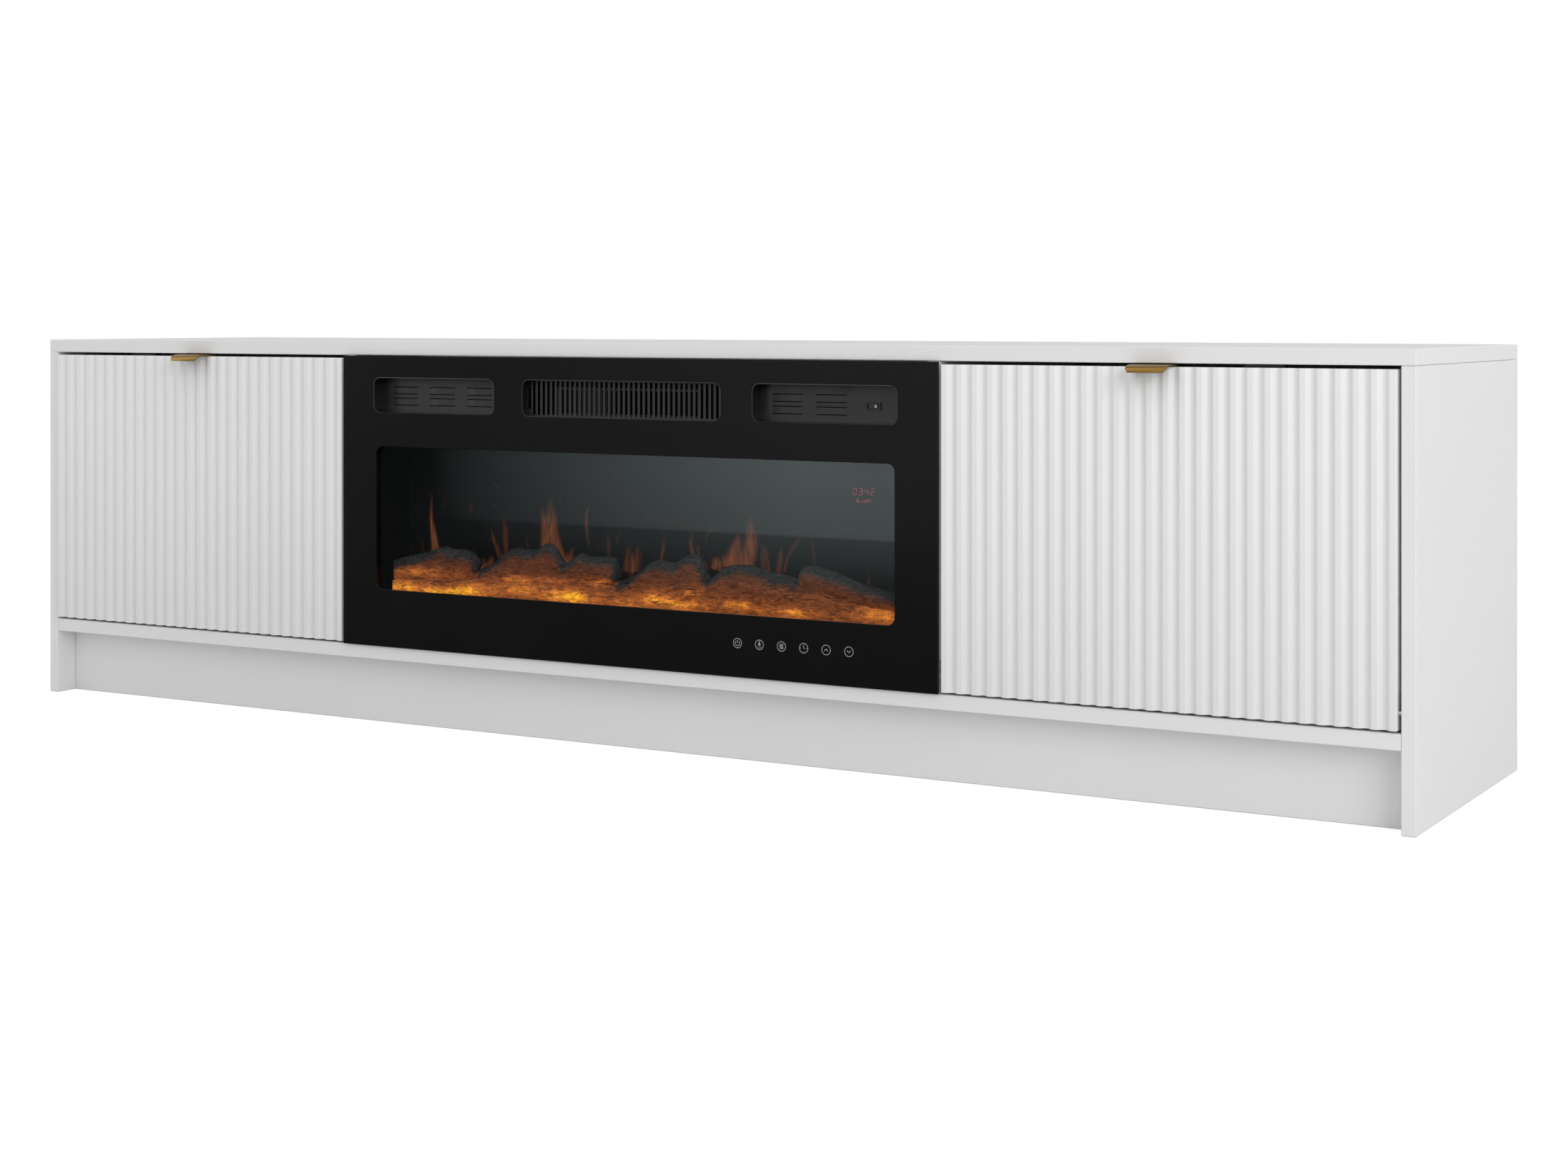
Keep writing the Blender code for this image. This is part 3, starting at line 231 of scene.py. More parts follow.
# Flames on the screen: how solid each is in hundredths, then X, Z and half width from the tip down
flame_lift = 0.0002
flame_layer = 0.00001
flame_steps = 6
flame_offsets = [share / 4 for share in range(-4, 5)]
flame_power = 0.30
flame_spread = 1.55
flame_tip_fade, flame_foot_fade = 1.7, 0.25
flame_paths = (
    (12, -3720, 2500, 12, -3700, 2222, 24),
    (90, -3550, 3158, 8, -3560, 2745, 28, -3530, 2556, 44, -3470, 2185, 64),
    (60, -3510, 2509, 20, -3480, 2400, 28, -3410, 2182, 24),
    (12, -3360, 3039, 16, -3350, 2928, 24, -3380, 2848, 12),
    (18, -2920, 3039, 24, -2890, 2915, 35, -2900, 2820, 16),
    (28, -2680, 2233, 16, -2610, 2014, 47),
    (35, -2550, 2662, 8, -2530, 2538, 23, -2420, 2309, 39, -2370, 2119, 23),
    (30, -2350, 2820, 12, -2330, 2703, 35, -2320, 2547, 42, -2310, 2272, 31),
    (15, -2000, 2593, 15, -1970, 2501, 19, -1960, 2273, 19),
    (55, -1720, 2991, 8, -1720, 2852, 23, -1700, 2544, 45, -1700, 2286, 53),
    (75, -1590, 3104, 11, -1590, 2842, 83, -1610, 2703, 98, -1610, 2290, 113),
    (55, -1520, 2875, 11, -1480, 2585, 41, -1450, 2433, 45, -1290, 2112, 37),
    (40, -1210, 2460, 11, -1260, 2365, 34, -1320, 2151, 37),
    (50, -960, 3051, 7, -1020, 2881, 22, -1010, 2667, 22, -980, 2486, 18),
    (25, -700, 2666, 11, -680, 2560, 29, -670, 2325, 22),
    (18, -470, 2797, 7, -510, 2659, 18, -550, 2542, 18),
    (16, -380, 2605, 14, -340, 2395, 36, -310, 2080, 51),
    (12, -220, 2582, 11, -180, 2403, 29, -200, 2116, 36),
    (30, 170, 2690, 7, 180, 2600, 18, 160, 2480, 25, 110, 2237, 25),
    (10, 430, 2955, 11, 450, 2845, 14),
    (12, 440, 2955, 11, 480, 2867, 21, 500, 2799, 14),
    (10, 520, 2943, 11, 540, 2819, 14),
    (38, 570, 2797, 7, 600, 2694, 21, 580, 2559, 28, 660, 2324, 32),
    (28, 650, 2577, 11, 690, 2520, 21, 710, 2311, 17),
    (28, 850, 2388, 35, 940, 2375, 49, 1060, 2261, 41),
    (18, 860, 2868, 10, 860, 2779, 21, 820, 2689, 14, 800, 2590, 10),
    (30, 990, 2466, 10, 1020, 2253, 24),
    (65, 1290, 2754, 10, 1270, 2650, 48, 1180, 2410, 76, 1160, 2201, 76),
    (75, 1440, 3039, 10, 1470, 2747, 75, 1460, 2600, 89, 1410, 2229, 82),
    (30, 1590, 2636, 14, 1640, 2580, 27, 1690, 2494, 30, 1710, 2273, 27),
    (30, 1730, 2385, 14, 1750, 2179, 27),
    (35, 1900, 2607, 13, 1900, 2504, 30, 1860, 2266, 40),
    (28, 2200, 2844, 13, 2150, 2705, 23, 2010, 2496, 20, 1940, 2285, 20),
    (25, 2320, 2771, 10, 2340, 2670, 17, 2360, 2556, 17, 2390, 2328, 13),
    (15, 2630, 2900, 16, 2620, 2776, 20),
    (12, 2660, 2441, 20, 2700, 2274, 20),
    (14, 3130, 2394, 16, 3130, 2145, 32),
    (45, -2670, 2249, 23, -2690, 2088, 59),
    (50, -2520, 2285, 23, -2590, 2121, 59),
    (45, -1320, 2390, 23, -1350, 2213, 56),
    (40, -1240, 2366, 22, -1270, 2217, 45),
    (40, -380, 2508, 16, -400, 2179, 44),
    (50, -300, 2457, 16, -310, 2165, 44),
    (45, -230, 2533, 16, -250, 2187, 44),
    (45, 810, 2385, 21, 770, 2222, 53),
    (50, 980, 2447, 21, 930, 2275, 63),
    (50, 1070, 2487, 21, 1070, 2318, 63),
    (45, 1180, 2475, 21, 1180, 2342, 52),
    (30, 1620, 2602, 20, 1660, 2313, 51),
    (60, 1340, 2650, 15, 1320, 2480, 70, 1290, 2240, 95),
)

# Logs: crest points and foot points in X and Z, then how far the front lies behind the set's own,
# the half depth, and how far the left and the right end are rounded, nothing for a flat cut
char_depth = 0.019
char_fade = 0.015
# Painted shade: a charcoal-dark band along each log's own crest, for the shade in the crease where
# the log above lies over it
crease_shade = 0.9
crease_shade_depth = 0.0028
log_rear = 0.013
charred_ends = (0, 3)
end_char, end_char_start = 0.012, 1.15
dim_logs = {0: 0.9, 3: 0.9, 8: 0.25}
cut_slant = 0.80
cut_run = 0.02
cut_share = 0.95
least_taper = 0.02
log_step, log_steps_least = 0.0025, 8
log_round = 56
log_gap = 0.0006
bark_shift = 7.3
bark_lump, bark_lump_scale = 0.0011, (30, 48, 48)
bark_ridge, bark_ridge_scale = 0.0005, (45, 170, 170)
bark_ridge_middle = 0.7
log_table = (
    (
        (
            -3800, 2180, -3600, 2252, -3280, 2323, -3120, 2372, -3000, 2402, -2850, 2387,
            -2650, 2384, -2530, 2365, -2430, 2290,
        ),
        (-3800, 1900, -3410, 1935, -2980, 1920, -2750, 1970, -2510, 2080, -2430, 2120),
        (145, 110, 0, 70),
    ),
    (
        (-3800, 1955, -3410, 1975, -2980, 1955, -2600, 2000, -2250, 2060, -1900, 2000),
        (-3800, 1680, -1900, 1680),
        (115, 110, 0, 100),
    ),
    (
        (
            -3000, 1930, -2750, 1985, -2510, 2090, -2430, 2140, -2280, 2209, -2130, 2294,
            -2000, 2400, -1870, 2445, -1710, 2428, -1560, 2435, -1450, 2489, -1360, 2524,
            -1250, 2483, -1170, 2387, -1100, 2300, -950, 2200, -800, 2130,
        ),
        (-3000, 1720, -800, 1720),
        (180, 120, 120, 120),
    ),
    (
        (
            -1200, 2210, -1090, 2265, -990, 2325, -900, 2380, -810, 2420, -680, 2393, -500, 2396,
            -320, 2390, -228, 2330,
        ),
        (-1200, 1980, -660, 2030, -228, 2070),
        (150, 110, 120, 50),
    ),
    (
        (
            -450, 2050, -230, 2106, -30, 2176, 110, 2272, 250, 2362, 430, 2400, 590, 2368,
            695, 2434, 820, 2491, 920, 2483, 990, 2420, 1075, 2264, 1120, 2190,
        ),
        (-450, 1720, 600, 1800, 1120, 1920),
        (165, 120, 120, 60),
    ),
    (
        (
            -2100, 1990, -1700, 2030, -1300, 2035, -900, 2055, -500, 2070, -200, 2060, 300, 2050,
            950, 2000,
        ),
        (-2100, 1680, 950, 1680),
        (105, 120, 150, 150),
    ),
    (
        (80, 1890, 300, 1975, 550, 2035, 800, 2075, 1040, 2080),
        (80, 1840, 550, 1840, 1040, 1975),
        (85, 120, 200, 160),
    ),
    (
        (
            880, 2000, 1075, 2162, 1180, 2254, 1315, 2349, 1450, 2388, 1590, 2397, 1720, 2390,
            1890, 2353, 2090, 2317, 2290, 2290, 2475, 2205, 2800, 2115, 3120, 2045, 3440, 1998,
            3720, 1965, 3930, 1940,
        ),
        (880, 1680, 3930, 1680),
        (145, 130, 120, 0),
    ),
    (
        (
            2415, 2365, 2450, 2402, 2510, 2428, 2600, 2439, 2720, 2422, 2880, 2383, 3040, 2335,
            3230, 2275, 3425, 2228, 3640, 2185, 3930, 2130,
        ),
        (2415, 2195, 2500, 2172, 2670, 2130, 2960, 2066, 3280, 2010, 3930, 1930),
        (140, 110, 25, 0),
    ),
)

# Embers: the middle of each bright place in X and Z, its reach along both, and its power
ember_spots = (
    (-0.360, 0.187, 0.030, 0.007, 0.72),
    (-0.292, 0.180, 0.038, 0.008, 1.05),
    (-0.245, 0.188, 0.028, 0.009, 0.62),
    (-0.340, 0.207, 0.050, 0.006, 0.42),
    (-0.180, 0.204, 0.022, 0.004, 0.70),
    (-0.165, 0.193, 0.030, 0.007, 0.52),
    (-0.120, 0.206, 0.020, 0.003, 0.40),
    (-0.090, 0.188, 0.036, 0.009, 0.78),
    (-0.055, 0.208, 0.026, 0.004, 0.45),
    (0.000, 0.184, 0.026, 0.005, 0.35),
    (0.040, 0.193, 0.026, 0.007, 0.66),
    (0.080, 0.187, 0.030, 0.005, 0.52),
    (0.090, 0.205, 0.012, 0.006, 0.40),
    (0.160, 0.191, 0.024, 0.005, 0.66),
    (0.237, 0.187, 0.026, 0.0045, 0.62),
    (0.347, 0.192, 0.022, 0.007, 0.62),
    (0.380, 0.190, 0.016, 0.007, 0.40),
)
ember_floor = 0.30
ember_low, ember_high = 0.176, 0.222
knot_place = (0.0700, 0.1985)
knot_half = (0.040, 0.0125)
knot_rise = 0.26
knot_rings = 11.0

# What the black glass mirrors, by shares of a direction's X and Z in its Y: where a soft box
# starts and is full, where its lower edge lies, and where a pale room shows beside and above it
box_start, box_full = 0.80, 0.57
box_edge_low, box_edge_high = -0.1045, -0.103
box_fade_low, box_fade_high = -0.138, -0.075
box_spill = 0.40
box_step = 0.36
room_side_start, room_side_full = 0.86, 1.05
room_above_start, room_above_full = 0.25, 0.8
room_foot, room_head = -0.30, 0.05
# By its Y alone: where the room shows behind, and how near to nothing the divisor may come
behind_span = (-0.1, 0.1)
forward_least = -0.01

# The finish of every node that still shows, with * for left and right
node_finishes = {
    "board": "top_panel bottom_panel *_side_panel *_partition front_plinth rear_plinth "
    "centre_plinth rear_rail",
    "hdf": "*_back_panel",
    "zinc": "*_outer_pin *_inner_pin *_outer_pivot_plate *_inner_pivot_plate *_stay_brake "
    "*_stay_bracket *_stay_arm *_stay_link *_strike flame_spindle",
    "powder": "front_plate casing blower_impeller blower_motor spindle_motor",
    "firebox": "firebox_liner",
    "display": "display_board",
    "plastic": "*_catch switch_housing switch_rocker cord_gland blower_housing spindle_bearing",
    "circuit": "led_board touch_board",
    "aluminium": "heating_element",
    "smoked": "flame_screen",
}

# Evenly grained finishes: base, roughness, gloss, whether the grain is in cells, its scale, its
# two tones, the scale and the span of the roughness, and the relief
grained_finishes = {
    # Powder coat
    "black_steel": (
        0.012, 0.5, 0.5, False, 1500, (0.008, 0.015), 90, (0.44, 0.56), (0.22, 0.0002),
    ),
    # Behind the pane: semi-gloss on the liner and dead matt on the display board
    "firebox_black": (
        0.004, 0.35, 0.30, False, 900, (0.003, 0.006), 70, (0.315, 0.385), (0.15, 0.0002),
    ),
    "display_black": (
        0.004, 0.80, 0.04, False, 900, (0.003, 0.006), 70, (0.72, 0.88), (0.15, 0.0002),
    ),
    # The vents' moulding, darker than the coated steel and with more gloss
    "vent_black": (
        0.003, 0.42, 0.78, False, 1200, (0.002, 0.004), 60, (0.36, 0.46), (0.12, 0.00015),
    ),
    # Mouldings with a spark-eroded grain
    "black_plastic": (
        0.014, 0.45, 0.5, True, 1700, (0.011, 0.018), 40, (0.40, 0.50), (0.15, 0.00015),
    ),
    "white_plastic": (
        (0.74, 0.74, 0.73), 0.4, 0.5, True, 1500,
        ((0.70, 0.70, 0.69), (0.77, 0.77, 0.76)), 40, (0.36, 0.46), (0.12, 0.0001),
    ),
}


# Shader helpers


def rgba(colour):
    """A colour from one grey or from three shares."""
    return (colour,) * 3 + (1,) if isinstance(colour, float) else (*colour, 1)


class Term:
    """A node's output, from which sums, products and differences can be made."""

    def __init__(self, graph, socket):
        self.graph, self.socket = graph, socket

    def __add__(self, other):
        return self.graph.maths("ADD", self, other)

    def __sub__(self, other):
        return self.graph.maths("SUBTRACT", self, other)

    def __rsub__(self, other):
        return self.graph.maths("SUBTRACT", other, self)

    def __mul__(self, other):
        return self.graph.maths("MULTIPLY", self, other)

    def __truediv__(self, other):
        return self.graph.maths("DIVIDE", self, other)

    def __pow__(self, other):
        return self.graph.maths("POWER", self, other)

    def __abs__(self):
        return self.graph.maths("ABSOLUTE", self)


class Graph:
    """A node tree under construction, with short names for the nodes it uses most."""

    def __init__(self, tree, spot):
        self.tree = tree
        self.spot = self.add("TexCoord", spot)

    def feed(self, socket, value):
        """Gives an input a value or another node's output."""
        if isinstance(value, Term):
            self.tree.links.new(value.socket, socket)
        else:
            socket.default_value = value

    def add(self, kind, output, inputs=None, **settings):
        """Adds a shader node and gives one of its outputs."""
        item = self.tree.nodes.new("ShaderNode" + kind)
        for key, value in settings.items():
            setattr(item, key, value)
        for key, value in (inputs or {}).items():
            self.feed(item.inputs[key], value)
        return Term(self, item.outputs[output])

    def maths(self, operation, *values):
        return self.add("Math", 0, dict(enumerate(values)), operation=operation)

    def most(self, first, second):
        return self.maths("MAXIMUM", first, second)

    def remap(self, value, low, high, to_low=0.0, to_high=1.0, smooth=False):
        inputs = dict(zip(RANGE_INPUTS, (value, low, high, to_low, to_high)))
        kind = "SMOOTHSTEP" if smooth else "LINEAR"
        return self.add("MapRange", "Result", inputs, interpolation_type=kind)

    def axes(self):
        """The X, Y and Z of the place or the direction."""
        split = self.add("SeparateXYZ", 0, {"Vector": self.spot}).socket.node
        return [Term(self, socket) for socket in split.outputs]


class Paint(Graph):
    """A material under construction."""

    def __init__(self, name, colour, roughness, metallic=0.0):
        self.material = bpy.data.materials.new(name)
        self.material.use_nodes = True
        super().__init__(self.material.node_tree, "Object")
        self.shader = self.tree.nodes["Principled BSDF"]
        self.set(base=rgba(colour), rough=roughness, Metallic=metallic)

    def set(self, **values):
        for name, value in values.items():
            self.feed(self.shader.inputs[SHADER_INPUTS.get(name, name)], value)

    def stretch(self, *scale):
        """The object's own coordinates, scaled along each axis."""
        return self.add("Mapping", "Vector", {"Vector": self.spot, "Scale": scale})

    def noise(self, scale, detail=2.0, where=None, distortion=0.0):
        inputs = {"Vector": where or self.spot, "Scale": scale}
        inputs |= {"Detail": detail, "Distortion": distortion}
        return self.add("TexNoise", "Fac", inputs)

    def cells(self, scale, feature="F1"):
        inputs = {"Vector": self.spot, "Scale": scale}
        return self.add("TexVoronoi", "Distance", inputs, feature=feature)

    def blend(self, share, first, second):
        """A colour between two, each a grey, three shares or another node's output."""
        first, second = (end if isinstance(end, Term) else rgba(end) for end in (first, second))
        return self.add("Mix", 2, {0: share, 6: first, 7: second}, data_type="RGBA")

    def attribute(self, name):
        return self.add("Attribute", "Fac", attribute_name=name)

    def bump(self, height, strength, distance):
        inputs = {"Height": height, "Strength": strength, "Distance": distance}
        self.set(Normal=self.add("Bump", "Normal", inputs))

    def finish(self, tone, tones, gleam, roughness, relief, span=noise_span):
        """The usual finish: one pattern sets the colour, one the roughness and one the relief."""
        self.set(base=self.blend(tone, *tones), rough=self.remap(gleam, *span, *roughness))
        self.bump(*relief)
        return self


# Mesh helpers


def add_object(name, data):
    item = bpy.data.objects.new(name, data)
    bpy.context.scene.collection.objects.link(item)
    return item


def move(shape, turn, place):
    """Turns a shape about the origin and then shifts it."""
    bmesh.ops.rotate(shape, matrix=turn, verts=shape.verts)
    bmesh.ops.translate(shape, vec=place, verts=shape.verts)
    return shape


def join_rows(shape, rows, closed=True):
    """Makes the faces between each row of points and the next."""
    for row, other in zip(rows, rows[1:]):
        for index in range(len(row) if closed else len(row) - 1):
            following = (index + 1) % len(row)
            shape.faces.new((row[index], row[following], other[following], other[index]))


def piece(name, shape, paint, body, smooth=True, weighted=False):
    """Turns a bmesh into an object that rides on a body."""
    mesh = bpy.data.meshes.new(name)
    bmesh.ops.recalc_face_normals(shape, faces=shape.faces)
    shape.to_mesh(mesh)
    shape.free()
    if smooth:
        mesh.shade_smooth()
        mesh.set_sharp_from_angle(angle=crease_angle)
    item = add_object(name, mesh)
    mesh.materials.append(paint.material)
    if weighted:
        normals = item.modifiers.new("weighted_normals", "WEIGHTED_NORMAL")
        normals.weight = 100
        normals.keep_sharp = True
    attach(item, body)
    return item


def slab(outlines, plane, near, far):
    """Flat outlines, the later ones as holes, drawn in a plane and thickened from near to far."""
    curve = bpy.data.curves.new("outline", "CURVE")
    curve.dimensions = "2D"
    curve.fill_mode = "BOTH"
    curve.extrude = abs(far - near) / 2
    for outline in outlines:
        spline = curve.splines.new("POLY")
        spline.points.add(len(outline) - 1)
        for point, (across, up) in zip(spline.points, outline):
            point.co = (across, up, 0, 1)
        spline.use_cyclic_u = True
    drawn = bpy.data.objects.new("outline", curve)
    mesh = bpy.data.meshes.new_from_object(drawn)
    bpy.data.objects.remove(drawn)
    bpy.data.curves.remove(curve)
    shape = bmesh.new()
    shape.from_mesh(mesh)
    bpy.data.meshes.remove(mesh)
    bmesh.ops.remove_doubles(shape, verts=shape.verts, dist=weld_distance)
    middle = (near + far) / 2
    shift = {"front": (0, middle, 0), "plan": (0, 0, middle)}[plane]
    return move(shape, PLANES[plane], shift)


def merge(shape, *others):
    """Puts the other shapes' faces into the first."""
    for other in others:
        mesh = bpy.data.meshes.new("merged")
        other.to_mesh(mesh)
        other.free()
        shape.from_mesh(mesh)
        bpy.data.meshes.remove(mesh)
    return shape


def ease(shape, width, segments=2):
    """Rounds the edges that turn by more than the bevel angle."""
    edges = [e for e in shape.edges if e.is_manifold and e.calc_face_angle() > bevel_angle]
    how = {"profile": 0.5, "affect": "EDGES", "clamp_overlap": True}
    bmesh.ops.bevel(shape, geom=edges, offset=width, segments=segments, **how)
    return shape


def arc(centre, radius, start, end, steps):
    """Points on an arc, whose radius may be one value or two."""
    across, up = radius if isinstance(radius, tuple) else (radius, radius)
    angles = [start + (end - start) * step / steps for step in range(steps + 1)]
    return [(centre[0] + across * math.cos(a), centre[1] + up * math.sin(a)) for a in angles]


def circle(centre, radius, steps=32):
    return arc(centre, radius, 0, 4 * QUARTER, steps)[:-1]


def box_outline(low, high):
    return [low, (high[0], low[1]), high, (low[0], high[1])]


def rounded_box(low, high, radius, steps=8):
    left, right = low[0] + radius, high[0] - radius
    foot, head = low[1] + radius, high[1] - radius
    points = []
    for turn, centre in enumerate(((right, foot), (right, head), (left, head), (left, foot))):
        start = (turn - 1) * QUARTER
        points += arc(centre, radius, start, start + QUARTER, steps)
    return points


def stadium(start, end, width, steps=8):
    """A bar with round ends, as an outline."""
    angle = math.atan2(end[1] - start[1], end[0] - start[0])
    first = arc(end, width / 2, angle - QUARTER, angle + QUARTER, steps)
    return first + arc(start, width / 2, angle + QUARTER, angle + 3 * QUARTER, steps)


def fillet(points, radius, steps=4):
    """An outline with its corners rounded, where their legs are long enough."""
    rounded = []
    for index, point in enumerate(points):
        corner = Vector(point)
        before = Vector(points[index - 1]) - corner
        after = Vector(points[(index + 1) % len(points)]) - corner
        turn = before.angle(after)
        limit = min(before.length, after.length) / fillet_limit
        reach = min(radius / math.tan(turn / 2), limit)
        start = corner + before.normalized() * reach
        end = corner + after.normalized() * reach
        for step in range(steps + 1):
            share = step / steps
            spot = start.lerp(corner, share).lerp(corner.lerp(end, share), share)
            rounded.append(tuple(spot))
    return rounded


# Finishes


def white_board():
    """Melamine-faced board: satin white, a fine pressed grain and a thin seam at its edge band."""
    paint = Paint("white_board", 0.80, 0.42)
    cloud = paint.remap(paint.noise(2.5, 3), *noise_span)
    face = paint.blend(cloud, 0.792, (0.808, 0.808, 0.806))
    behind = abs(paint.axes()[1] - (board_front + seam_back))
    tones = face, (0.55, 0.55, 0.54)
    grain = paint.noise(1900, 1) + paint.noise(260)
    paint.set(gloss=0.3)
    seam = paint.remap(behind, seam_width, 0.0, 0.0, seam_shade)
    return paint.finish(
        seam, tones, paint.noise(14), (0.38, 0.46), (grain, 0.10, 0.0002), noise_core
    )


def fluted_white():
    """Foil-wrapped board, a touch smoother than the carcase."""
    paint = Paint("fluted_white", 0.81, 0.36)
    paint.set(gloss=0.12)
    cloud = paint.remap(paint.noise(3.5, 3), *noise_span)
    tones = 0.803, (0.818, 0.818, 0.817)
    relief = paint.noise(420), 0.06, 0.00015
    return paint.finish(cloud, tones, paint.noise(22), (0.33, 0.40), relief, noise_core)


def thin_board():
    """Thin hardboard: white lacquer inside, bare brown fibre on the rear."""
    paint = Paint("white_hdf", (0.75, 0.75, 0.74), 0.5)
    fibre = paint.noise(1.0, 6, paint.stretch(700, 1, 420))
    share = paint.remap(fibre, *noise_span)
    brown = paint.blend(share, (0.24, 0.145, 0.075), (0.40, 0.26, 0.15))
    lacquer = paint.blend(paint.noise(6), (0.74, 0.74, 0.73), (0.76, 0.76, 0.75))
    rear = paint.remap(paint.axes()[1], board_back - hdf_skin, board_back, smooth=True)
    tones = lacquer, brown
    return paint.finish(rear, tones, rear, (0.45, 0.85), (fibre, 0.2, 0.0002), (0, 1))


def satin_gold():
    """Brushed and lacquered gold, its fine lines along the pull."""
    paint = Paint("satin_gold", (0.28, 0.168, 0.044), 0.30, 1.0)
    lines = paint.noise(1.0, 3, paint.stretch(45, 2600, 2600))
    tone = paint.remap(lines, *noise_core)
    tones = (0.255, 0.150, 0.037), (0.310, 0.187, 0.051)
    return paint.finish(tone, tones, lines, (0.24, 0.36), (lines, 0.08, 0.00005), noise_core)


def zinc_steel():
    """Zinc-plated steel with faint spangle."""
    paint = Paint("zinc_steel", (0.60, 0.60, 0.61), 0.34, 1.0)
    spangle = paint.remap(paint.cells(240), 0.0, 0.6)
    tones = (0.56, 0.57, 0.59), 0.68
    relief = paint.noise(900), 0.08, 0.0001
    return paint.finish(spangle, tones, paint.noise(300), (0.28, 0.42), relief)


def grained(name):
    """One of the evenly grained finishes."""
    base, roughness, gloss, celled, scale, tones, gleam, spread, relief = grained_finishes[name]
    paint = Paint(name, base, roughness)
    paint.set(gloss=gloss)
    grain = paint.cells(scale) if celled else paint.noise(scale)
    return paint.finish(grain, tones, paint.noise(gleam), spread, (grain, *relief))


def bare_aluminium():
    """Rolled aluminium with fine lines along the fins, its colour darkened well below real
    aluminium as painted shade for the element behind the grille.
    """
    paint = Paint("bare_aluminium", 0.10, 0.5, 1.0)
    lines = paint.noise(1.0, 3, paint.stretch(2400, 60, 60))
    tones = (0.07, 0.07, 0.072), (0.13, 0.13, 0.132)
    return paint.finish(lines, tones, lines, (0.42, 0.58), (lines, 0.1, 0.00005))


def black_glass():
    """Enamelled black glass, with a thin green-grey line at its polished edge."""
    paint = Paint("black_glass", 0.0017, 0.36)
    face = paint.blend(paint.remap(paint.noise(5, 3), *noise_span), 0.0014, 0.0020)
    across = abs(paint.axes()[0])
    rim = paint.remap(across, bezel_half - glass_edge, bezel_half, smooth=True)
    paint.set(base=paint.blend(rim, face, (0.012, 0.018, 0.017)))
    paint.set(rough=paint.remap(paint.noise(9), *noise_span, 0.28, 0.32))
    paint.set(gloss=glass_gloss, coat=glass_coat, coat_rough=0.02)
    return paint


def clear_glass():
    """The pane: clear glass with a faint cool tint."""
    paint = Paint("clear_glass", (0.94, 0.97, 0.97), 0.0)
    tint = paint.blend(paint.noise(4), (0.93, 0.96, 0.96), (0.95, 0.98, 0.98))
    paint.set(base=tint, clear=1.0, IOR=1.50, tint=pane_mirror_tint)
    return paint


def circuit_board():
    """Green solder mask over copper tracks."""
    paint = Paint("circuit_board", (0.01, 0.08, 0.03), 0.4)
    line = paint.remap(paint.cells(170, "DISTANCE_TO_EDGE"), 0.05, 0.09)
    mask = paint.blend(line, (0.02, 0.14, 0.06), (0.008, 0.055, 0.022))
    pads = paint.remap(paint.cells(330), 0.12, 0.16)
    tones = (0.45, 0.44, 0.40), mask
    return paint.finish(pads, tones, paint.noise(80), (0.32, 0.45), (line, 0.25, 0.0001))


def smoked_acrylic():
    """The smoked screen behind the logs, paler at its cut ends."""
    paint = Paint("smoked_acrylic", (0.010, 0.011, 0.012), 0.22)
    haze = paint.blend(paint.noise(12, 3), (0.006, 0.007, 0.008), (0.012, 0.014, 0.016))
    across = abs(paint.axes()[0])
    edge = paint.remap(across, screen_half - screen_edge, screen_half, smooth=True)
    paint.set(base=paint.blend(edge, haze, (0.040, 0.050, 0.050)), gloss=0.08)
    paint.set(rough=paint.remap(paint.noise(30), *noise_span, 0.18, 0.28))
    return paint


def flame_light():
    """The flames thrown on the screen: solid in the middle, torn lengthwise, clear at the edge."""
    paint = Paint("flame_light", 0.0, 0.6)
    fire = paint.attribute("fire")
    torn = paint.noise(1.0, 3, paint.stretch(230, 1, 30), 0.9)
    body = fire * paint.remap(torn, 0.30, 0.66, 0.20, 1.0)
    colour = paint.blend(fire, (1.0, 0.26, 0.085), (1.0, 0.36, 0.15))
    paint.set(Alpha=body, glow=colour, power=flame_power, gloss=0.0)
    return paint


